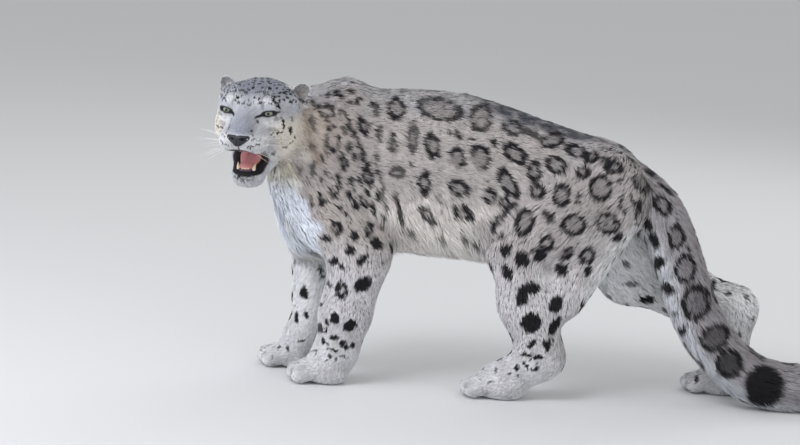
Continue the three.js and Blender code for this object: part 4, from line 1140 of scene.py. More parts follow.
        # Painted shade: the ear's hollow is darkened.
        made = mix(made, tone["ear_cup"], on_ear * (1 - smooth(cup, 0.5, 3.5)) * 0.75)
        behind = on_ear * smooth(-(s.out @ self.flesh.to_head)[:, 0], 0.3, 0.8)
        made = mix(made, tone["dark"], 0.6 * behind * (1 - np.exp(-((u - 62) / 14) ** 2)))
        slits = pair(self.flesh.make_slit)(q)
        flat = np.stack([0 * f, side, u], 1)
        corners = np.minimum(bar((0, 33, 19.8), (0, 23.5, 15.8), 3.4, 2.0)(flat),
                             bar((0, 53, 24.2), (0, 61, 26.6), 2.8, 1.2)(flat)) + 20 * (1 - smooth(f, 60, 72))
        rim = 1 - smooth(np.minimum(slits - 2.2, corners), -1.0, 1.6)
        made = mix(made, tone["lip"], np.clip(rim, 0, 1))
        made = mix(made, tone["lip"], 1 - smooth(self.nose_v(q), -0.6, 0.8))
        wide = self.lip_width(q)
        inside = (1 - smooth(self.flesh.mouth(q), wide - 1.0, wide + 1.0)) * smooth(f, 38, 50)
        return mix(made, tone["lip"], inside)

    @staticmethod
    def lip_width(q: Points) -> Points:
        """Return how far the dark bare lip reaches beyond the mouth's opening: furthest on the lower lip.

        Args:
            q: Places on the head's axes.

        Returns:
            The widths in millimetres.
        """
        corner = smooth(np.abs(q[:, 1]), 20, 30)
        return (2.4 + 3.5 * corner * (1 - smooth(q[:, 0], 80, 95)) + 7.0 * smooth(-q[:, 2], 82, 98)
                + (5.0 - 2.5 * corner) * smooth(-q[:, 2], 62, 80))

    def inside_mouth(self, s: Sample) -> tuple[Points, Points]:
        """Work out the colours of the mouth's lining, with painted shade in the depths of the open mouth.

        Args:
            s: The places.

        Returns:
            Linear colours, and 1 where the lining is.
        """
        q = s.local
        f, side, u = q[:, 0], np.abs(q[:, 1]), q[:, 2]
        tone = {name: linear(value) for name, value in vars(self.dyes).items()}
        mouth = self.flesh.mouth(q)
        share = (1 - smooth(mouth, -0.4, 0.9)) * (s.parts[:, Region.HEAD] < 12)
        ridges = 0.5 + 0.5 * np.sin(f * 1.25 + 0.02 * side ** 2)
        roof = smooth(u, -74, -66) * (1 - smooth(side, 20, 30))
        # Outside the roof the lining is near black: painted shade in the depths of the open mouth. The lips at the
        # front and the corners are their own black.
        made = tone["throat"] + (tone["palate"] * (0.8 + 0.25 * ridges)[:, None] - tone["throat"]) * roof[:, None]
        lip = smooth(f, 118, 128)[:, None] * (1 - roof)[:, None]
        return made + (tone["lip"] - made) * np.maximum(lip, smooth(side, 30, 40)[:, None] * 0.8), share

    def plain(self, s: Sample) -> tuple[Points, Points]:
        """Work out the colours without the markings.

        Args:
            s: The places.

        Returns:
            Linear colours, and 1 where the skin is bare and moist.
        """
        lining, share = self.inside_mouth(s)
        made = self.ground(s)
        return made + (lining - made) * share[:, None], share

    def marked(self, colours: Points, p: Points, n: Points) -> Points:
        """Lay the markings over colours.

        Args:
            colours: Linear colours.
            p: Their places.
            n: Outward normals there.

        Returns:
            The darkened colours.
        """
        dark = self.marks.shade(p, n)[:, None]
        return np.clip(colours + (linear(self.dyes.dark) - colours) * dark, 0, 1)

    def paint(self, p: Points, n: Points) -> Points:
        """Work out the skin's colour.

        Args:
            p: Places on the surface.
            n: Outward normals there.

        Returns:
            Linear red, green, blue, and 1 where the skin is bare and moist.
        """
        colours, share = self.plain(self.sample(p, n))
        return np.concatenate([self.marked(colours, p, n), share[:, None]], 1)


@dataclass
class Markings:
    """Lays out the measured markings, and fills the sides that the camera doesn't see in the same manner."""

    flesh: Flesh
    pelt: Pelt
    seed: int = 5
    tries: int = 26000

    def measured(self) -> Marks:
        """Read the table of the left side and the face.

        Returns:
            The markings.
        """
        rows = []
        for text in BODY_MARKS.replace("\n", " ").split(";"):
            x, y, z, half_long, half_short, lean, code = text.split()
            turn = math.radians(float(lean))
            axis = (math.sin(turn), 0, math.cos(turn))
            rows.append(((float(x), float(y), float(z)), (0, -1, 0.1), axis, float(half_long), float(half_short),
                         Kind(code[0]), min(0.42 + 0.085 * int(code[1:]), 1)))
        for text in FACE_MARKS.replace("\n", " ").split(";"):
            f, side, u, half_long, half_short, lean, code = text.split()
            place, turn = np.array((float(f), float(side), float(u))), math.radians(float(lean))
            axis = np.array((math.sin(turn), 0, math.cos(turn))) @ self.flesh.to_head
            for mirror in ((1,) if abs(place[1]) < 12 else (1, -1)):
                flip = np.array((1, mirror, 1))
                at = self.flesh.world((place * flip)[None])[0]
                _, normal = self.flesh.settle(at[None], 1)
                rows.append((at, normal[0], self.flesh.to_head @ (axis * flip), 1.15 * float(half_long),
                             1.2 * float(half_short), Kind(code[0]), min(0.115 * int(code[1:]), 1)))
        return Marks.from_rows(rows, self.flesh)

    def style(self, s: Sample, i: int, draw: np.random.Generator) -> tuple | None:
        """Choose a marking for a place.

        Args:
            s: The places.
            i: Which place.
            draw: The seeded draws.

        Returns:
            Spacing, half length, half width, kind and strength, or None for no marking.
        """
        region = Region(int(s.weights[i].argmax()))
        at, out, q = s.at[i], s.out[i], s.local[i]
        size = draw.uniform(0.85, 1.15)
        if region is Region.TRUNK:
            if out[2] < -0.45 or (at[0] < -175 and out[0] < -0.3) or (at[0] > 390 and out[0] > 0.4):
                return None
            if out[2] > 0.86 and abs(at[1]) < 55:
                return 27, 12 * size, 6 * size, Kind.SPOT, 0.9
            if at[0] < -60:
                return 21, 8 * size, 5 * size, Kind.SPOT, 0.95
            return 40, 21 * size, 15 * size, Kind.RING if draw.random() < 0.7 else Kind.DOTTED, 0.95
        if region is Region.NECK:
            if out[2] < -0.2 or out[0] < -0.4:
                return None
            return 19, 7 * size, 4 * size, Kind.SPOT, 0.95
        if region is Region.TAIL:
            return 37, 20 * size, 16 * size, Kind.RING, 1.0
        if region is Region.HEAD:
            if (q[2] < 30 and q[0] > 20) or self.flesh.ears(q[None])[0] < 8:
                return None
            if q[2] > 44 and q[0] < 84:
                return 8.6, 3.8 * size, 2.7 * size, Kind.SPOT, 1.0
            return 15, 5 * size, 2.6 * size, Kind.SPOT, 0.8
        limb = list(self.flesh.limbs.values())[region - Region.FORE_LEFT]
        inner = -out[1] * limb.side
        if at[2] < 62:
            return (15, 4.2 * size, 2.6 * size, Kind.SPOT, 0.7) if out[2] > 0.1 and inner < 0.3 else None
        if inner > 0.3:
            return 42, 8 * size, 5.5 * size, Kind.SPOT, 0.8
        if region in (Region.HIND_LEFT, Region.HIND_RIGHT) and at[2] > 300:
            return 38, 19 * size, 14 * size, Kind.RING, 1.0
        small = 1 - 0.5 * smooth(np.array([170 - at[2]]), 0, 120)[0]
        return 29 * small + 4, 12 * size * small, 8 * size * small, Kind.SPOT, 1.0

    def lay_out(self, p: Points, n: Points) -> Marks:
        """Place every marking.

        Args:
            p: Places spread over the surface.
            n: Outward normals there.

        Returns:
            The measured markings and those that fill the rest.
        """
        made = self.measured()
        draw = np.random.default_rng(self.seed)
        pick = draw.permutation(len(p))[:self.tries]
        s = self.pelt.sample(p[pick], n[pick])
        way = self.pelt.lie(s)
        to_camera = np.array((0, -math.cos(math.radians(9)), math.sin(math.radians(9))))
        faces = s.out @ to_camera
        near_side = (s.at[:, 1] < 30) | (s.weights[:, Region.HEAD] > 0.5)
        seen = (faces > 0.22) & near_side
        white = self.pelt.bib(s) > 0.3
        rows = []
        places = list(made.at)
        sizes = list(made.half_long * 0.8)
        for i in range(len(pick)):
            if white[i] or seen[i] and (s.local[i, 2] < 44 or s.weights[i, Region.HEAD] < 0.5):
                continue
            style = self.style(s, i, draw)
            if style is None:
                continue
            spacing, half_long, half_short, kind, strength = style
            gap = np.linalg.norm(np.array(places) - s.at[i], axis=1)
            if (gap < np.maximum(spacing, np.array(sizes) + half_long * 0.9)).any():
                continue
            places.append(s.at[i])
            sizes.append(half_long * 0.8)
            rows.append((s.at[i], s.out[i], way[i], half_long, half_short, kind, strength))
        LOG.info("markings: %d measured, %d filled in", len(made.at), len(rows))
        return made.joined(Marks.from_rows(rows, self.flesh))


def ink(nodes: bpy.types.NodeTree, kind: str, settings: dict | None = None, **links: object) -> bpy.types.Node:
    """Add a shader node.

    Args:
        nodes: The tree it goes into.
        kind: Its type name.
        settings: Values for its properties and, by name, its input sockets.
        **links: Output sockets to link to its inputs, named with _ for spaces, or i and a number for an index.

    Returns:
        The node.
    """
    node = nodes.nodes.new(kind)
    for name, value in (settings or {}).items():
        if hasattr(node, name) and name not in node.inputs:
            setattr(node, name, value)
        else:
            node.inputs[name].default_value = value
    for name, socket in links.items():
        key = int(name[1:]) if name[0] == "i" and name[1:].isdigit() else name.replace("_", " ")
        nodes.links.new(socket, node.inputs[key])
    return node


def fresh_material(name: str) -> tuple[bpy.types.Material, bpy.types.NodeTree, bpy.types.Node]:
    """Start a material.

    Args:
        name: Its name.

    Returns:
        The material, its emptied node tree and its principled shader.
    """
    material = bpy.data.materials.new(name)
    material.use_nodes = True
    tree = material.node_tree
    tree.nodes.clear()
    shader = tree.nodes.new("ShaderNodeBsdfPrincipled")
    out = tree.nodes.new("ShaderNodeOutputMaterial")
    tree.links.new(shader.outputs["BSDF"], out.inputs["Surface"])
    return material, tree, shader


@dataclass(frozen=True)
class HairFinish:
    """Fur: dry keratin strands. The eye sees a soft, matt surface with a faint rim of scattered light."""

    name: str = "snow_leopard_hair"
    roughness: float = 0.78
    ior: float = 1.55
    sheen: float = 0.08
    grain: float = 0.10

    def make(self) -> bpy.types.Material:
        """Build the material: the tufts' own colour, varied by a fine streak.

        Returns:
            The material.
        """
        material, tree, shader = fresh_material(self.name)
        tint = ink(tree, "ShaderNodeAttribute", {"attribute_name": "Tint"})
        place = ink(tree, "ShaderNodeTexCoord")
        streak = ink(tree, "ShaderNodeTexNoise", {"Scale": 420.0, "Detail": 2.0}, Vector=place.outputs["Object"])
        light = ink(tree, "ShaderNodeMapRange", {"To Min": 1 - self.grain, "To Max": 1 + self.grain},
                    Value=streak.outputs["Fac"])
        made = ink(tree, "ShaderNodeVectorMath", {"operation": "SCALE"}, Vector=tint.outputs["Color"],
                   Scale=light.outputs["Result"])
        tree.links.new(made.outputs["Vector"], shader.inputs["Base Color"])
        shader.inputs["Roughness"].default_value = self.roughness
        shader.inputs["IOR"].default_value = self.ior
        shader.inputs["Specular IOR Level"].default_value = 0.25
        shader.inputs["Sheen Weight"].default_value = self.sheen
        shader.inputs["Sheen Roughness"].default_value = 0.5
        return material


@dataclass(frozen=True)
class SkinFinish:
    """Skin under the coat: matt down whose colour is dimmed by painted shade between the tufts, and moist bare skin in
    the mouth.
    """

    name: str = "snow_leopard_skin"
    ior: float = 1.4
    down: float = 0.0006
    moist_roughness: float = 0.28
    dry_roughness: float = 0.85

    def make(self) -> bpy.types.Material:
        """Build the material: colour and moisture from the piece's attribute, with the nap of short fur.

        Returns:
            The material.
        """
        material, tree, shader = fresh_material(self.name)
        tint = ink(tree, "ShaderNodeAttribute", {"attribute_name": "Tint"})
        place = ink(tree, "ShaderNodeTexCoord")
        nap = ink(tree, "ShaderNodeTexNoise", {"Scale": 900.0, "Detail": 3.0}, Vector=place.outputs["Object"])
        light = ink(tree, "ShaderNodeMapRange", {"To Min": 0.82, "To Max": 1.12}, Value=nap.outputs["Fac"])
        made = ink(tree, "ShaderNodeVectorMath", {"operation": "SCALE"}, Vector=tint.outputs["Color"],
                   Scale=light.outputs["Result"])
        tree.links.new(made.outputs["Vector"], shader.inputs["Base Color"])
        wet = ink(tree, "ShaderNodeMapRange", {"To Min": self.dry_roughness, "To Max": self.moist_roughness},
                  Value=tint.outputs["Alpha"])
        tree.links.new(wet.outputs["Result"], shader.inputs["Roughness"])
        bump = ink(tree, "ShaderNodeBump", {"Strength": 0.6, "Distance": self.down}, Height=nap.outputs["Fac"])
        tree.links.new(bump.outputs["Normal"], shader.inputs["Normal"])
        shader.inputs["IOR"].default_value = self.ior
        return material


def mesh_object(name: str, points: Points, faces: Points) -> bpy.types.Object:
    """Make an object from arrays.

    Args:
        name: Its name.
        points: Places in millimetres on the body's axes.
        faces: Corners of each face, all with the same count.

    Returns:
        The linked object.
    """
    mesh = bpy.data.meshes.new(name)
    mesh.vertices.add(len(points))
    mesh.vertices.foreach_set("co", to_frame(points).astype(np.float32).ravel())
    mesh.loops.add(faces.size)
    mesh.loops.foreach_set("vertex_index", faces.astype(np.int32).ravel())
    mesh.polygons.add(len(faces))
    mesh.polygons.foreach_set("loop_start", np.arange(0, faces.size, faces.shape[1], dtype=np.int32))
    mesh.polygons.foreach_set("use_smooth", np.ones(len(faces), bool))
    mesh.update(calc_edges=True)
    obj = bpy.data.objects.new(name, mesh)
    bpy.context.scene.collection.objects.link(obj)
    return obj


def set_tint(obj: bpy.types.Object, colours: Points) -> None:
    """Store linear colours with a fourth value on an object's points as the attribute Tint."""
    layer = obj.data.color_attributes.new("Tint", "FLOAT_COLOR", "POINT")
    layer.data.foreach_set("color", colours.astype(np.float32).ravel())


def points_of(mesh: bpy.types.Mesh) -> Points:
    """Return a mesh's points in millimetres on the body's axes.

    Args:
        mesh: The mesh.

    Returns:
        Its points.
    """
    co = np.empty(len(mesh.vertices) * 3, np.float32)
    mesh.vertices.foreach_get("co", co)
    return to_body(co.reshape(-1, 3).astype(float))


def move_points(mesh: bpy.types.Mesh, points: Points) -> None:
    """Write a mesh's points from millimetres on the body's axes."""
    mesh.vertices.foreach_set("co", to_frame(points).astype(np.float32).ravel())
    mesh.update()


@dataclass
class Skin:
    """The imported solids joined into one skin, drawn onto the smooth body and sunk by the coat's depth."""

    flesh: Flesh
    pelt: Pelt
    finish: SkinFinish = field(default_factory=SkinFinish)
    floor: float = 0.3
    voxel: float = 0.0063
    obj: bpy.types.Object | None = None
    surface: Points | None = None
    normals: Points | None = None
    points: Points | None = None
    triangles: Points | None = None

    def join(self, nodes: Sequence[bpy.types.Object]) -> None:
        """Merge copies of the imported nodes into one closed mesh.

        Args:
            nodes: The nodes.
        """
        bm = bmesh.new()
        for node in nodes:
            bm.from_mesh(node.data)
        bmesh.ops.remove_doubles(bm, verts=bm.verts, dist=1e-5)
        mesh = bpy.data.meshes.new("skin")
        bm.to_mesh(mesh)
        bm.free()
        self.obj = bpy.data.objects.new("skin", mesh)
        bpy.context.scene.collection.objects.link(self.obj)

    def remesh(self) -> None:
        """Rebuild the mesh from even square faces."""
        remesh = self.obj.modifiers.new("remesh", "REMESH")
        remesh.mode, remesh.voxel_size, remesh.adaptivity = "VOXEL", self.voxel, 0.0
        graph = bpy.context.evaluated_depsgraph_get()
        made = bpy.data.meshes.new_from_object(self.obj.evaluated_get(graph))
        self.obj.modifiers.clear()
        old, self.obj.data = self.obj.data, made
        bpy.data.meshes.remove(old)
        made.name = "skin"

    def settle(self, turns: int, relax: int = 0) -> None:
        """Draw the mesh onto the smooth body.

        Args:
            turns: Newton steps.
            relax: Rounds of evening out the points first.
        """
        if relax:
            bm = bmesh.new()
            bm.from_mesh(self.obj.data)
            for _ in range(relax):
                bmesh.ops.smooth_vert(bm, verts=bm.verts, factor=0.5, use_axis_x=True, use_axis_y=True,
                                      use_axis_z=True)
            bm.to_mesh(self.obj.data)
            bm.free()
        self.surface, self.normals = self.flesh.settle(points_of(self.obj.data), turns, 8)
        move_points(self.obj.data, self.surface)

    def refine(self, wanted: Callable[[Points], Points]) -> None:
        """Halve the faces of a part of the skin.

        Args:
            wanted: Picks places on the head's own axes.
        """
        bm = bmesh.new()
        bm.from_mesh(self.obj.data)
        near = wanted(self.flesh.local(points_of(self.obj.data)))
        bm.verts.ensure_lookup_table()
        edges = [e for e in bm.edges if near[e.verts[0].index] and near[e.verts[1].index]]
        bmesh.ops.subdivide_edges(bm, edges=edges, cuts=1, use_grid_fill=True)
        bm.to_mesh(self.obj.data)
        bm.free()

    def sink(self) -> None:
        """Move the skin in by the depth of the coat and colour it."""
        s = self.pelt.sample(self.surface, self.normals)
        self.points = self.surface - self.normals * self.pelt.depth(s)[:, None]
        self.points[:, 2] = np.maximum(self.points[:, 2], self.floor)
        move_points(self.obj.data, self.points)
        mesh = self.obj.data
        mesh.calc_loop_triangles()
        corners = np.empty(len(mesh.loop_triangles) * 3, np.int32)
        mesh.loop_triangles.foreach_get("vertices", corners)
        self.triangles = corners.reshape(-1, 3)

    def dress(self) -> None:
        """Colour the skin and give it its material."""
        paint = self.pelt.paint(self.surface, self.normals)
        # Painted shade between the tufts: the skin under the coat is dimmed to 0.86, and moist bare skin keeps its
        # colour.
        shade_between_tufts = np.where(paint[:, 3:] > 0.5, 1.0, 0.86)
        set_tint(self.obj, np.concatenate([paint[:, :3] * shade_between_tufts, paint[:, 3:]], 1))
        self.obj.data.polygons.foreach_set("use_smooth", np.ones(len(self.obj.data.polygons), bool))
        self.obj.data.materials.clear()
        self.obj.data.materials.append(self.finish.make())

    def build(self, nodes: Sequence[bpy.types.Object], replaced: Sequence[str]) -> None:
        """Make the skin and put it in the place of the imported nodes.

        Args:
            nodes: The nodes that are joined.
            replaced: Names of the nodes that it takes the place of.
        """
        self.join(nodes)
        self.remesh()
        self.settle(2)
        self.remesh()
        self.settle(2)
        self.refine(lambda q: (np.abs(q[:, 0] - 50) < 120) & (np.abs(q[:, 1]) < 108) & (q[:, 2] > -135)
                    & (q[:, 0] > -40) & (q[:, 2] < 110))
        self.refine(lambda q: ((q[:, 0] > 58) & (np.abs(q[:, 1]) < 62) & (q[:, 2] > -100) & (q[:, 2] < 50)))
        self.settle(2)
        self.sink()
        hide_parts(*replaced)
        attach(self.obj, "root")
        LOG.info("skin: %d points, %d triangles", len(self.points), len(self.triangles))


class Zone(Enum):
    """Pieces of the coat: name and number of tufts."""

    TRUNK_LEFT = ("coat_trunk_left", 31000)
    TRUNK_RIGHT = ("coat_trunk_right", 29000)
    CHEST_NECK = ("coat_chest_neck", 29000)
    FORE_LEFT = ("coat_foreleg_left", 23500)
    FORE_RIGHT = ("coat_foreleg_right", 23500)
    HIND_LEFT = ("coat_hindleg_left", 28500)
    HIND_RIGHT = ("coat_hindleg_right", 25500)
    TAIL = ("coat_tail", 27000)
    HEAD = ("coat_head", 32000)


@dataclass
class Coat:
    """The coat: closed tufts that follow its lie, each with the colour of the markings where it shows."""

    flesh: Flesh
    pelt: Pelt
    skin: Skin
    finish: HairFinish = field(default_factory=HairFinish)
    seed: int = 11
    width: float = 2.5
    face_width: float = 1.0
    flatness: float = 0.34
    clump: int = 12
    pull: float = 0.36
    floor: float = 0.4

    def zones(self, s: Sample) -> Points:
        """Work out which piece of the coat each place belongs to.

        Args:
            s: The places.

        Returns:
            The index of the zone.
        """
        region = s.weights.argmax(1)
        zone = np.select([region == Region.HEAD, region == Region.TAIL, region == Region.HIND_LEFT,
                          region == Region.HIND_RIGHT, region == Region.FORE_LEFT, region == Region.FORE_RIGHT,
                          region == Region.NECK], [8, 7, 5, 6, 3, 4, 2], -1)
        trunk = zone < 0
        front = s.at[:, 0] + 0.3 * np.abs(s.at[:, 1]) < -165
        zone[trunk & front] = 2
        zone[trunk & ~front & (s.at[:, 1] < 0)] = 0
        zone[trunk & ~front & (s.at[:, 1] >= 0)] = 1
        return zone

    def spread(self, zone: Points, room: Points, count: int, pick: int,
               draw: np.random.Generator) -> tuple[Points, Points]:
        """Scatter roots over one zone of the skin.

        Args:
            zone: The zone of each triangle of the skin.
            room: The weight of each triangle.
            count: How many roots.
            pick: The zone that is wanted.
            draw: The seeded draws.

        Returns:
            The triangle of each root and its shares of the triangle's corners.
        """
        own = np.flatnonzero(zone == pick)
        run = np.cumsum(room[own])
        at = (np.arange(count) + draw.uniform(0, 1, count)) / count * run[-1]
        triangle = own[np.minimum(np.searchsorted(run, at), len(own) - 1)]
        a, b = draw.uniform(size=(2, count))
        flip = a + b > 1
        a, b = np.where(flip, 1 - a, a), np.where(flip, 1 - b, b)
        return triangle, np.stack([1 - a - b, a, b], 1)

    def unwrap(self, zone: Zone, s: Sample) -> Points:
        """Lay roots out on a flat map of the skin's own shape: along a limb and around it.

        Args:
            zone: The zone.
            s: The roots.

        Returns:
            Map coordinates from 0 to 1.
        """
        if zone is Zone.HEAD:
            q = unit(s.local - np.array((20, 0, -10)))
            radius = np.sqrt((1 - q[:, 0]) / 2)
            turn = np.arctan2(q[:, 2], q[:, 1])
            return 0.5 + 0.485 * radius[:, None] * np.stack([np.cos(turn), np.sin(turn)], 1)
        flesh = self.flesh
        paths = {Zone.TRUNK_LEFT: flesh.trunk_path, Zone.TRUNK_RIGHT: flesh.trunk_path,
                 Zone.CHEST_NECK: np.vstack([flesh.neck_path, flesh.trunk_path[:1]]), Zone.TAIL: flesh.tail_path}
        for name, limb in flesh.limbs.items():
            paths[Zone[name.upper()]] = limb.path()
        path = paths[zone]
        best, along, around = np.full(len(s.at), 1e9), np.zeros(len(s.at)), np.zeros(len(s.at))
        run = 0.0
        for a, b in zip(path, path[1:]):
            step = b - a
            t = (s.at - a) @ step / (step @ step)
            t = np.clip(t, -5 if run == 0 else 0, 5 if b is path[-1] else 1)
            off = s.at - a - t[:, None] * step
            gap = np.linalg.norm(s.at - a - np.clip(t, 0, 1)[:, None] * step, axis=1)
            side = unit(np.cross(step, (0.1, 1, 0.05)))
            angle = np.arctan2(off @ unit(np.cross(step, side)), off @ side)
            near = gap < best
            best = np.where(near, gap, best)
            along = np.where(near, run + t * np.linalg.norm(step), along)
            around = np.where(near, angle / (2 * math.pi) + 0.5, around)
            run += np.linalg.norm(step)
        low, high = along.min(), along.max()
        return 0.01 + 0.975 * np.stack([(along - low) / max(high - low, 1e-6), around], 1)

    @staticmethod
    def pulled(roots: Points, tips: Points, every: int, share: float, draw: np.random.Generator) -> Points:
        """Draw the tips of neighbouring tufts together into locks.

        Args:
            roots: Where the tufts start.
            tips: Where they end.
            every: About how many tufts make a lock.
            share: How far each tip moves towards the lock's tip.
            draw: The seeded draws.

        Returns:
            The moved tips.
        """
        leaders = draw.choice(len(roots), max(1, len(roots) // every), replace=False)
        tree = kdtree.KDTree(len(leaders))
        for i, leader in enumerate(leaders):
            tree.insert(roots[leader], i)
        tree.balance()
        nearest = leaders[[tree.find(root)[1] for root in roots]]
        gap = np.linalg.norm(roots - roots[nearest], axis=1)
        reach = np.linalg.norm(tips - roots, axis=1)
        share = share * (1 - smooth(gap / np.maximum(reach, 1), 0.35, 0.9))
        return tips + (tips[nearest] - tips) * share[:, None]

    def tufts(self, root: Points, normal: Points, s: Sample, draw: np.random.Generator) -> tuple:
        """Shape the tufts of one piece.

        Args:
            root: Roots on the skin.
            normal: Outward normals there.
            s: The same places on the body's surface.
            draw: The seeded draws.

        Returns:
            Points and faces of every tuft, and the places where they show.
        """
        count = len(root)
        way = self.pelt.lie(s)
        side = np.cross(normal, way)
        lean = draw.normal(0, 0.14, count)[:, None]
        way = unit(way + side * lean)
        side = np.cross(normal, way)
        length, rise = self.pelt.length(s)
        length = length * draw.uniform(0.72, 1.22, count)
        face = smooth(-s.local[:, 0], -80, -10)
        face = np.where(s.weights[:, Region.HEAD] > 0.5, face, 1)
        low = np.where((s.weights[:, Region.HEAD] < 0.5), self.pelt.low(s), 0)
        width = (self.face_width + (self.width - self.face_width) * face) * (1 - 0.42 * low)
        width = width * draw.uniform(0.75, 1.25, count)
        rise = rise * draw.uniform(0.7, 1.25, count)
        tip = root + way * length[:, None] + normal * rise[:, None]
        value = self.flesh.whole(tip)
        over = value - (rise - self.pelt.depth(s))
        tip = tip - normal * np.clip(over, -0.8 * length, 0.8 * length)[:, None]
        tip = self.pulled(root, tip, self.clump, self.pull, draw)
        middle = root * 0.56 + tip * 0.44 + normal * (rise * 0.24 + 0.03 * length)[:, None]
        middle = middle + side * (draw.normal(0, 0.05, count) * length)[:, None]
        half = (width / 2)[:, None]
        points = np.stack([root - normal * 0.5, middle + side * half, middle - side * half,
                           middle + normal * half * 2 * self.flatness, tip], 1)
        points[:, :, 2] = np.maximum(points[:, :, 2], self.floor)
        triangles = np.array([(3, 1, 0), (2, 3, 0), (1, 2, 0), (1, 3, 4), (3, 2, 4), (2, 1, 4)])
        faces = triangles[None] + 5 * np.arange(count)[:, None, None]
        shows = tip - way * (0.15 * length)[:, None]
        return points, faces.reshape(-1, 3), shows

    def piece(self, zone: Zone, triangle: Points, share: Points, draw: np.random.Generator,
              material: bpy.types.Material) -> bpy.types.Object:
        """Make one piece of the coat.

        Args:
            zone: Which piece.
            triangle: The triangle of each root.
            share: The root's shares of the triangle's corners.
            draw: The seeded draws.
            material: The hair's material.

        Returns:
            The piece.
        """
        corners = self.skin.triangles[triangle]
        root, at, normal = ((source[corners] * share[:, :, None]).sum(1)
                            for source in (self.skin.points, self.skin.surface, self.skin.normals))
        normal = unit(normal)
        s = self.pelt.sample(at, normal)
        points, faces, shows = self.tufts(root, normal, s, draw)
        count = len(points)
        obj = mesh_object(zone.value[0], points.reshape(-1, 3), faces)
        plain = self.pelt.ground(self.pelt.sample(shows, normal))
        plain = plain * draw.uniform(0.9, 1.1, (count, 1))
        tint = np.ones((count, 5, 4))
        # Painted shade at each tuft's root (0.64, less on the white bib), a little darker along its middle (0.94), and
        # painted light at its tip (1.08).
        pale = 0.22 * self.pelt.bib(s)[:, None]
        between = (points[:, 3] + shows) / 2
        for rows, place, fade in ((0, points[:, 3], 0.64 + pale), (slice(1, 4), between, 0.94), (4, shows, 1.08)):
            colour = np.clip(self.pelt.marked(plain, place, normal) * fade, 0, 1)
            tint[:, rows, :3] = colour[:, None] if isinstance(rows, slice) else colour
        set_tint(obj, tint.reshape(-1, 4))
        self.soften(obj, points, normal)
        self.map_tufts(obj, zone, s, faces)
        obj.data.materials.append(material)
        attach(obj, "root")
        LOG.info("%s: %d tufts, %d triangles", obj.name, count, len(faces))
        return obj

    @staticmethod
    def soften(obj: bpy.types.Object, points: Points, normal: Points) -> None:
        """Turn the tufts' normals most of the way to the body's, as hair scatters light around its roots.

        Args:
            obj: The piece.
            points: The points of every tuft.
            normal: The body's normal at each root.
        """
        outward = unit(points - points[:, 1:4].mean(1, keepdims=True))
        along = unit(points[:, 4] - points[:, 0])
        outward[:, 0], outward[:, 4] = normal, normal
        outward = outward - 0.6 * (outward * along[:, None]).sum(2, keepdims=True) * along[:, None]
        made = unit(normal[:, None] + 0.55 * outward)
        obj.data.normals_split_custom_set_from_vertices(made.reshape(-1, 3).tolist())

    def map_tufts(self, obj: bpy.types.Object, zone: Zone, s: Sample, faces: Points) -> None:
        """Give each tuft a small patch of the map OFBake at its root's place on the unwrapped skin.

        Args:
            obj: The piece.
            zone: Which piece it is.
            s: The roots.
            faces: The tufts' faces.
        """
        place = self.unwrap(zone, s)
        patch = np.array([(0.5, 0), (0, 0.45), (1, 0.45), (0.5, 0.5), (0.5, 1)]) * 0.003
        spots = (place[:, None] + patch[None]).reshape(-1, 2)
        layer = obj.data.uv_layers.new(name="OFBake")
        layer.uv.foreach_set("vector", spots[faces.ravel()].astype(np.float32).ravel())

    def build(self) -> list[bpy.types.Object]:
        """Make every piece of the coat.

        Returns:
            The pieces.
        """
        skin = self.skin
        centre = skin.surface[skin.triangles].mean(1)
        normal = unit(skin.normals[skin.triangles].mean(1))
        s = self.pelt.sample(centre, normal)
        zone = self.zones(s)
        a, b, c = (skin.points[skin.triangles[:, k]] for k in range(3))
        room = np.linalg.norm(np.cross(b - a, c - a), axis=1)
        length, _ = self.pelt.length(s)
        room = room * (22 / np.clip(length, 5, 60)) ** 0.75
        room = np.where((self.pelt.bare(s) < 1.2) | (centre[:, 2] < 3), 0, room)
        head = s.weights[:, Region.HEAD] > 0.5
        room = np.where(head & (s.local[:, 0] < -30), room * 0.7, room)
        material = self.finish.make()
        made = []
        for pick, one in enumerate(Zone):
            draw = np.random.default_rng(self.seed + pick)
            count = one.value[1]
            triangle, share = self.spread(zone, room, count, pick, draw)
            made.append(self.piece(one, triangle, share, draw, material))
        return made


@dataclass(frozen=True)
class MoistFinish:
    """Bare moist tissue such as nose leather, tongue or gum: the eye sees a pebbled surface with wet glints."""

    name: str
    tone: str
    roughness: float = 0.3
    grain: float = 1100.0
    relief: float = 0.00025
    ior: float = 1.4
    flesh: float = 0.0

    def make(self) -> bpy.types.Material:
        """Build the material.

        Returns:
            The material.
        """
        material, tree, shader = fresh_material(self.name)
        place = ink(tree, "ShaderNodeTexCoord")
        pebble = ink(tree, "ShaderNodeTexVoronoi", {"Scale": self.grain}, Vector=place.outputs["Object"])
        bump = ink(tree, "ShaderNodeBump", {"Strength": 0.7, "Distance": self.relief},
                   Height=pebble.outputs["Distance"])
        tree.links.new(bump.outputs["Normal"], shader.inputs["Normal"])
        shader.inputs["Base Color"].default_value = (*linear(self.tone), 1)
        shader.inputs["Roughness"].default_value = self.roughness
        shader.inputs["IOR"].default_value = self.ior
        shader.inputs["Subsurface Weight"].default_value = self.flesh
        shader.inputs["Subsurface Radius"].default_value = (0.003, 0.001, 0.0007)
        shader.inputs["Subsurface Scale"].default_value = 1.0
        return material


@dataclass(frozen=True)
class PlainFinish:
    """Enamel or a clean stiff hair: the eye sees one tone and a smooth highlight."""

    name: str
    tone: str
    roughness: float = 0.3
    ior: float = 1.55

    def make(self) -> bpy.types.Material:
        """Build the material.

        Returns:
            The material.
        """
        material, _, shader = fresh_material(self.name)
        shader.inputs["Base Color"].default_value = (*linear(self.tone), 1)
        shader.inputs["Roughness"].default_value = self.roughness
        shader.inputs["IOR"].default_value = self.ior
        return material


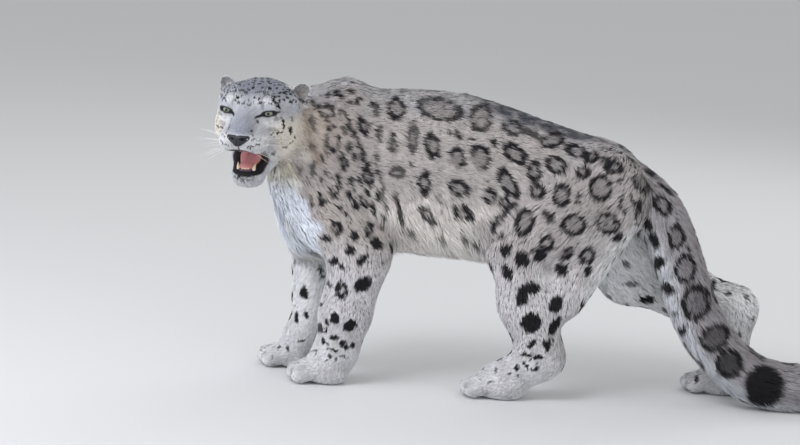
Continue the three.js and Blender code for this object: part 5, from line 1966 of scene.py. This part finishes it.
@dataclass(frozen=True)
class EyeFinish:
    """A living eye: pale fibrous iris round a black pupil under a clear wet cornea, which gives a sharp glint."""

    name: str = "wet_eye"
    rings: tuple = ((0.0, "#050505"), (0.074, "#070707"), (0.088, "#3b3e34"), (0.115, "#757a6a"),
                    (0.235, "#828775"), (0.29, "#4f5348"), (0.318, "#1f201e"), (0.345, "#1b1614"),
                    (1.0, "#2a2220"))

    def make(self) -> bpy.types.Material:
        """Build the material from the eye's Ring attribute, which is the angle from its axis.

        Returns:
            The material.
        """
        material, tree, shader = fresh_material(self.name)
        ring = ink(tree, "ShaderNodeAttribute", {"attribute_name": "Ring"})
        ramp = ink(tree, "ShaderNodeValToRGB", Fac=ring.outputs["Fac"])
        stops = ramp.color_ramp.elements
        while len(stops) < len(self.rings):
            stops.new(0.5)
        for stop, (place, tone) in zip(stops, self.rings):
            stop.position = place
        for stop, (place, tone) in zip(stops, self.rings):
            stop.color = (*linear(tone), 1)
        fibre = ink(tree, "ShaderNodeAttribute", {"attribute_name": "Fibre"})
        light = ink(tree, "ShaderNodeMapRange", {"To Min": 0.72, "To Max": 1.2}, Value=fibre.outputs["Fac"])
        made = ink(tree, "ShaderNodeVectorMath", {"operation": "SCALE"}, Vector=ramp.outputs["Color"],
                   Scale=light.outputs["Result"])
        tree.links.new(made.outputs["Vector"], shader.inputs["Base Color"])
        shader.inputs["Roughness"].default_value = 0.25
        shader.inputs["IOR"].default_value = 1.376
        shader.inputs["Coat Weight"].default_value = 1.0
        shader.inputs["Coat Roughness"].default_value = 0.02
        shader.inputs["Coat IOR"].default_value = 1.376
        return material


def drawn(name: str, mass: Mass, centre: Sequence[float], reach: float, detail: int = 5) -> tuple[Points, Points]:
    """Draw a closed mesh around a mass: a sphere whose points move along rays until they meet its surface.

    Args:
        name: Name for the log.
        mass: The mass, which every ray from the centre leaves once.
        centre: A place inside it.
        reach: Further than its furthest point.
        detail: How often the sphere's faces are split.

    Returns:
        Points and triangles.
    """
    bm = bmesh.new()
    bmesh.ops.create_icosphere(bm, subdivisions=detail, radius=1.0)
    way = np.array([v.co[:] for v in bm.verts])
    faces = np.array([[v.index for v in f.verts] for f in bm.faces])
    bm.free()
    low, high = np.zeros(len(way)), np.full(len(way), reach)
    for _ in range(20):
        middle = (low + high) / 2
        inside = mass(np.array(centre) + way * middle[:, None]) < 0
        low, high = np.where(inside, middle, low), np.where(inside, high, middle)
    LOG.debug("%s: %d points", name, len(way))
    return np.array(centre) + way * low[:, None], faces


def strand(points: Points, radii: Points, sides: int = 8) -> tuple[Points, Points]:
    """Sweep a round section along a path, its ends closed.

    Args:
        points: The path.
        radii: The radius at each of its points.
        sides: Corners of the section.

    Returns:
        Points and triangles.
    """
    way = unit(np.gradient(points, axis=0))
    side = unit(np.cross(way, way[0] * 0.1 + np.array((0.13, 0.21, 1.0))))
    up = np.cross(side, way)
    turn = np.arange(sides) * 2 * math.pi / sides
    ring = side[:, None] * np.cos(turn)[None, :, None] + up[:, None] * np.sin(turn)[None, :, None]
    made = (points[:, None] + ring * np.asarray(radii)[:, None, None]).reshape(-1, 3)
    made = np.vstack([made, points[:1] - way[:1] * radii[0] * 0.3, points[-1:] + way[-1:] * radii[-1] * 0.3])
    faces = []
    for i in range(len(points) - 1):
        for k in range(sides):
            a, b = i * sides + k, i * sides + (k + 1) % sides
            faces += [(a, a + sides, b), (b, a + sides, b + sides)]
    last = (len(points) - 1) * sides
    start, end = len(points) * sides, len(points) * sides + 1
    for k in range(sides):
        j = (k + 1) % sides
        faces += [(start, k, j), (end, last + j, last + k)]
    return made, np.array(faces)


def ring_strand(points: Points, radius: Points, sides: int = 8) -> tuple[Points, Points]:
    """Sweep a round section around a closed path.

    Args:
        points: The path, whose last point joins its first.
        radius: The radius at each point.
        sides: Corners of the section.

    Returns:
        Points and triangles.
    """
    count = len(points)
    way = unit(np.roll(points, -1, 0) - np.roll(points, 1, 0))
    out = unit(points - points.mean(0))
    side = unit(np.cross(way, out))
    out = np.cross(side, way)
    turn = np.arange(sides) * 2 * math.pi / sides
    ring = side[:, None] * np.cos(turn)[None, :, None] + out[:, None] * np.sin(turn)[None, :, None]
    made = (points[:, None] + ring * np.asarray(radius)[:, None, None]).reshape(-1, 3)
    i, k = np.meshgrid(np.arange(count), np.arange(sides), indexing="ij")
    a, b = i * sides + k, i * sides + (k + 1) % sides
    c, d = ((i + 1) % count) * sides + k, ((i + 1) % count) * sides + (k + 1) % sides
    faces = np.stack([np.stack([a, b, c], -1), np.stack([b, d, c], -1)], 2).reshape(-1, 3)
    return made, faces


def gathered(parts: Sequence[tuple[Points, Points]]) -> tuple[Points, Points]:
    """Join meshes given as points and triangles.

    Args:
        parts: Points and triangles of each mesh.

    Returns:
        The points and triangles of all.
    """
    starts = np.cumsum([0] + [len(points) for points, _ in parts])
    return (np.vstack([points for points, _ in parts]),
            np.vstack([faces + start for (_, faces), start in zip(parts, starts)]))


@dataclass
class Eye:
    """One eye: the ball with its bulging cornea, and the dark rims of its lids."""

    flesh: Flesh
    side: int
    gaze: tuple = (1.0, 0.02, 0.0)
    cornea: float = 1.3
    rim: float = 1.15

    def ball(self, material: bpy.types.Material) -> bpy.types.Object:
        """Make the ball.

        Args:
            material: Its material.

        Returns:
            The object.
        """
        radius = self.flesh.eye_radius
        centre = np.array(self.flesh.eye) * (1, self.side, 1)
        axis = unit(np.array(self.gaze) + (0, 0.12 * self.side, 0))
        bm = bmesh.new()
        bmesh.ops.create_uvsphere(bm, u_segments=96, v_segments=64, radius=1.0,
                                  matrix=Matrix.Rotation(math.pi / 2, 4, "Y"))
        turn = Vector((1, 0, 0)).rotation_difference(Vector(axis)).to_matrix().to_4x4()
        bmesh.ops.rotate(bm, verts=bm.verts, cent=(0, 0, 0), matrix=turn)
        bmesh.ops.triangulate(bm, faces=bm.faces)
        way = np.array([v.co[:] for v in bm.verts])
        faces = np.array([[v.index for v in f.verts] for f in bm.faces])
        bm.free()
        angle = np.arccos(np.clip(way @ axis, -1, 1))
        bulge = self.cornea * (1 - smooth(angle, 0.15, 0.72))
        points = self.flesh.world(centre + way * (radius + bulge)[:, None])
        obj = mesh_object("eyeball_" + ("left" if self.side > 0 else "right"), points, faces)
        across = np.stack([way @ np.cross(axis, (0, 0, 1)), way @ np.cross(axis, (0, 1, 0))], 1)
        turn_about = np.arctan2(across[:, 1], across[:, 0])
        fibre = 0.5 + 0.2 * np.sin(turn_about * 23) + 0.16 * np.sin(turn_about * 41 + 9 * angle) \
            + 0.12 * np.sin(turn_about * 67 + 2)
        for name, values in (("Ring", angle / math.pi * 1.55), ("Fibre", np.clip(fibre, 0, 1))):
            layer = obj.data.attributes.new(name, "FLOAT", "POINT")
            layer.data.foreach_set("value", values.astype(np.float32))
        obj.data.materials.append(material)
        return obj

    def lids(self) -> tuple[Points, Points]:
        """Make the rims of the lids: a dark moist cord around the opening, drawn out at its corners.

        Returns:
            Points and triangles.
        """
        centre = np.array(self.flesh.eye) * (1, self.side, 1)
        wide, high = self.flesh.opening
        turn = self.flesh.slit_turn(self.side)
        t = np.linspace(0, 2 * math.pi, 72, endpoint=False)
        y, z = wide * np.cos(t), high * np.sin(t) * (1 - 0.12 * np.abs(np.cos(t)) ** 3)
        reach = self.flesh.eye_radius + 0.9
        way = np.stack([np.zeros_like(t), y, z], 1) @ turn.T
        ahead = turn @ np.array((1.0, 0, 0))
        lift = np.sqrt(np.maximum(reach ** 2 - (way ** 2).sum(1), 9.0))
        points = centre + way + lift[:, None] * ahead
        radius = self.rim * (1 + 0.35 * np.abs(np.cos(t)) ** 4)
        made, faces = ring_strand(self.flesh.world(points), radius)
        return made, faces


@dataclass
class Mouth:
    """The open mouth's contents: tongue, gums and lower teeth."""

    flesh: Flesh
    canine: float = 14.5
    canine_root: float = 4.0

    def tongue(self) -> bpy.types.Object:
        """Make the tongue, which rises towards the throat, with a groove down its middle.

        Returns:
            The piece.
        """
        body = blend(8, bar((47, 0, -67), (76, 0, -85), 16, 7.5, 1.5, 1.7),
                     ellipsoid((78, 0, -87.5), (10, 12.5, 6)))
        mass = scooped(body, bar((40, 0, -47), (92, 0, -79), 1.8, 1.2), 5)
        points, faces = drawn("tongue", mass, (60, 0, -76), 60, 5)
        points = points + 0.3 * np.stack([ripple(points, 3.0, 61, 5)] * 3, 1) * (0, 0, 1)
        obj = mesh_object("tongue_raised", self.flesh.world(points), faces)
        obj.data.materials.append(MoistFinish("moist_tongue", "#c78586", 0.42, 900.0, 0.0005, flesh=0.25).make())
        return obj

    def gums(self) -> bpy.types.Object:
        """Make the gum of the lower jaw, an arch in front of the tongue.

        Returns:
            The piece.
        """
        t = np.linspace(-1, 1, 25)
        path = np.stack([85.5 - 7 * t ** 2 - 6 * t ** 4, 17 * t, -93.5 + 0.6 * t ** 2], 1)
        points, faces = strand(self.flesh.world(path), np.full(25, 4.4), 14)
        obj = mesh_object("gum_lower", points, faces)
        obj.data.materials.append(MoistFinish("moist_gum", "#5d3f52", 0.25, 700.0, 0.0002, flesh=0.1).make())
        return obj

    def teeth(self) -> bpy.types.Object:
        """Make the lower canines and the row of small front teeth between them.

        Returns:
            The piece.
        """
        parts = []
        for side in (1, -1):
            t = np.linspace(0, 1, 10)
            path = np.stack([80 + 3.0 * t - 5.0 * t ** 2, side * (14.6 + 3.4 * t), -93 + self.canine * t], 1)
            radii = self.canine_root * (1 - t ** 1.6) + 0.35
            parts.append(strand(self.flesh.world(path), radii, 12))
        for place in (-6.6, -4.0, -1.35, 1.35, 4.0, 6.6):
            t = np.linspace(0, 1, 6)
            root = np.array((87.2 - 0.03 * place ** 2, place, -93.5))
            path = root + t[:, None] * np.array((0.6, 0, 5.6 + 0.08 * abs(place)))
            parts.append(strand(self.flesh.world(path), np.array((1.15, 1.3, 1.35, 1.25, 1.0, 0.6)), 8))
        obj = mesh_object("teeth_lower", *gathered(parts))
        obj.data.materials.append(PlainFinish("tooth_enamel", "#ddd0b2", 0.28, 1.62).make())
        return obj

    def build(self) -> list[bpy.types.Object]:
        """Make everything in the mouth."""
        return [self.tongue(), self.gums(), self.teeth()]


@dataclass
class Face:
    """Everything on the head that isn't skin or coat."""

    flesh: Flesh
    whiskers_a_side: int = 14
    seed: int = 21

    def nose(self) -> bpy.types.Object:
        """Make the nose leather: a broad V with two comma-shaped nostrils.

        Returns:
            The piece.
        """
        wings = pair(lambda s: bar((139.5, 18.5 * s, -22.5), (142, 7 * s, -24.5), 4.4, 7.4))
        sides = pair(lambda s: bar((140.5, 14.5 * s, -26.0), (143, 2 * s, -34.5), 5.0, 5.8))
        pad = blend(4, wings, sides, ellipsoid((140.5, 0, -25.5), (9, 10, 8.5)),
                    bar((140, 0, -30), (133, 0, -43), 5, 2.0))
        nostrils = pair(lambda s: blend(1.5, bar((150, 7.5 * s, -26.5), (141, 12 * s, -25), 2.7, 2.5),
                                        bar((146, 13 * s, -25.5), (141, 19.5 * s, -23.5), 1.7, 1.0)))
        seam = bar((151, 0, -27), (139, 0, -46), 0.8, 0.8)
        mass = scooped(scooped(pad, nostrils, 2.0), seam, 1.2)
        points, faces = drawn("nose", mass, (134.5, 0, -25), 40, 5)
        obj = mesh_object("nose_leather", self.flesh.world(points), faces)
        obj.data.materials.append(MoistFinish("nose_leather", "#2b2a33", 0.36, 1300.0, 0.0002).make())
        return obj

    def lip_seam(self) -> tuple[Points, Points]:
        """Make the dark seam from the nose down to the lip.

        Returns:
            Its points and triangles.
        """
        t = np.linspace(0, 1, 9)[:, None]
        path = np.array((135, 0, -41)) * (1 - t) + np.array((124, 0, -53)) * t
        at, out = self.flesh.settle(self.flesh.world(path), 3)
        return strand(at - out * 0.5, np.linspace(1.5, 1.1, 9), 8)

    def whiskers(self) -> bpy.types.Object:
        """Make the whiskers: stiff white hairs from four rows on each pad of the muzzle, and a few on the brow.

        Returns:
            The piece.
        """
        draw = np.random.default_rng(self.seed)
        parts = []
        for side in (1, -1):
            for i in range(self.whiskers_a_side):
                row, place = i % 4, i // 4
                root = np.array((127 - 5.5 * place - 1.5 * row, side * (24 + 4.6 * place + row), -29 - 5.0 * row))
                at, out = self.flesh.settle(self.flesh.world(root[None]), 3)
                out = out[0] @ self.flesh.to_head
                way = unit(out * 0.4 + np.array((-0.1 - 0.14 * place, side * 1.0, 0.24 - 0.13 * row))
                           + draw.normal(0, 0.06, 3))
                self.whisker(parts, at[0], way, draw.uniform(38, 58), 0.2, draw)
            for i in range(3):
                root = np.array((84 - 3 * i, side * (24 + 7 * i), 52))
                at, out = self.flesh.settle(self.flesh.world(root[None]), 3)
                way = unit(out[0] @ self.flesh.to_head + np.array((0.2, 0.35 * side, 0.9)) + draw.normal(0, 0.1, 3))
                self.whisker(parts, at[0], way, draw.uniform(22, 34), 0.2, draw)
        obj = mesh_object("whiskers", *gathered(parts))
        obj.data.materials.append(PlainFinish("stiff_white_hair", "#f1f0ec", 0.35, 1.55).make())
        return obj

    def whisker(self, parts: list, root: Points, way: Points, length: float, radius: float,
                draw: np.random.Generator) -> None:
        """Add one whisker, which droops towards its tip.

        Args:
            parts: Where it is added.
            root: Its root on the body's axes.
            way: Its direction on the head's axes.
            length: Its length.
            radius: Its radius at the root.
            draw: The seeded draws.
        """
        t = np.linspace(0, 1, 9)[:, None]
        droop = np.array((-0.16, 0, -0.12)) + draw.normal(0, 0.04, 3)
        path = self.flesh.local(root[None]) + length * (t * way + t ** 2 * droop) - 1.5 * way
        parts.append(strand(self.flesh.world(path), radius * (1 - t[:, 0] ** 1.5) + 0.05, 5))

    def build(self) -> None:
        """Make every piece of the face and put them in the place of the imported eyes, nose and tongue."""
        eye_finish = EyeFinish().make()
        rims = []
        pieces = []
        for side, node in ((1, "eye_left"), (-1, "eye_right")):
            eye = Eye(self.flesh, side)
            ball = eye.ball(eye_finish)
            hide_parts(node)
            pieces.append(ball)
            rims.append(eye.lids())
        rims.append(self.lip_seam())
        rim = mesh_object("lid_rims", *gathered(rims))
        rim.data.materials.append(MoistFinish("moist_rim", "#0e0c0f", 0.3, 900.0, 0.0001).make())
        nose = self.nose()
        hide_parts("nose")
        inside = Mouth(self.flesh).build()
        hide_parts("tongue")
        for obj in (*pieces, rim, nose, *inside, self.whiskers()):
            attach(obj, "root")
            LOG.info("%s: %d triangles", obj.name, len(obj.data.polygons))


@dataclass
class Stage:
    """The studio: pale floor and sky, soft lights and the photograph's camera."""

    target: tuple = (-0.309498, 0.035474, 0.318)
    distance: float = 5.5
    elevation: float = 9.0
    roll: float = 4.0
    lens: float = 123.75
    floor_tone: str = "#dfe1e3"
    sky_tone: str = "#eeeeee"

    def camera(self) -> bpy.types.Object:
        """Set the camera as the photograph was taken.

        Returns:
            The camera.
        """
        data = bpy.data.cameras.new("camera")
        data.lens, data.sensor_width = self.lens, 36
        data.clip_end = 200
        obj = bpy.data.objects.new("camera", data)
        lift = math.radians(self.elevation)
        target = Vector(self.target)
        obj.location = target + self.distance * Vector((0, -math.cos(lift), math.sin(lift)))
        aim = (target - obj.location).to_track_quat("-Z", "Y").to_matrix()
        obj.rotation_euler = (aim @ Matrix.Rotation(math.radians(self.roll), 3, "Z")).to_euler()
        bpy.context.scene.collection.objects.link(obj)
        bpy.context.scene.camera = obj
        return obj

    def floor(self) -> bpy.types.Object:
        """Lay a wide pale floor under the animal.

        Returns:
            The floor.
        """
        bm = bmesh.new()
        bmesh.ops.create_grid(bm, x_segments=1, y_segments=1, size=40)
        mesh = bpy.data.meshes.new("studio_floor")
        bm.to_mesh(mesh)
        bm.free()
        obj = bpy.data.objects.new("studio_floor", mesh)
        bpy.context.scene.collection.objects.link(obj)
        material, _, shader = fresh_material("matt_studio_paper")
        shader.inputs["Base Color"].default_value = (*linear(self.floor_tone), 1)
        shader.inputs["Roughness"].default_value = 0.9
        mesh.materials.append(material)
        return obj

    @staticmethod
    def light(name: str, place: Sequence[float], size: float, power: float, tone: str,
              target: Sequence[float] = (-0.2, 0, 0.3)) -> bpy.types.Object:
        """Hang a square soft light.

        Args:
            name: Its name.
            place: Where it hangs, in metres.
            size: Length of its sides.
            power: Its power in watts.
            tone: Its colour.
            target: What it faces.

        Returns:
            The light.
        """
        data = bpy.data.lights.new(name, "AREA")
        data.size, data.energy, data.color = size, power, linear(tone)
        obj = bpy.data.objects.new(name, data)
        obj.location = place
        obj.rotation_euler = (Vector(target) - Vector(place)).to_track_quat("-Z", "Y").to_euler()
        bpy.context.scene.collection.objects.link(obj)
        return obj

    def build(self) -> None:
        """Make the studio."""
        world = bpy.data.worlds.new("studio_sky")
        bpy.context.scene.world = world
        world.use_nodes = True
        sky = world.node_tree.nodes["Background"]
        sky.inputs["Color"].default_value = (*linear(self.sky_tone), 1)
        sky.inputs["Strength"].default_value = 0.66
        lights = [self.light("key", (-2.4, -2.6, 3.8), 1.9, 96, "#fdfcff"),
                  self.light("fill", (1.2, -3.8, 1.0), 2.6, 30, "#ffffff"),
                  self.light("chest", (-3.4, -1.0, 0.9), 1.8, 36, "#f4f7ff"),
                  self.light("rim", (1.2, 3.0, 2.8), 2.0, 24, "#ffffff")]
        self.camera()
        self.floor()
        bpy.context.scene.view_settings.view_transform = "Standard"


def main() -> None:
    """Build the animal and its studio, and report each piece."""
    logging.basicConfig(level=logging.INFO, format="%(message)s")
    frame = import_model()
    flesh = Flesh()
    pelt = Pelt(flesh)
    skin = Skin(flesh, pelt)
    nodes = frame["nodes"]
    skin.build(list(nodes.values()), [n for n in nodes if not n.startswith(("eye", "nose", "tongue"))])
    pelt.marks = Markings(flesh, pelt).lay_out(skin.surface, skin.normals)
    skin.dress()
    Coat(flesh, pelt, skin).build()
    Face(flesh).build()
    Stage().build()


if __name__ == "__main__":
    main()
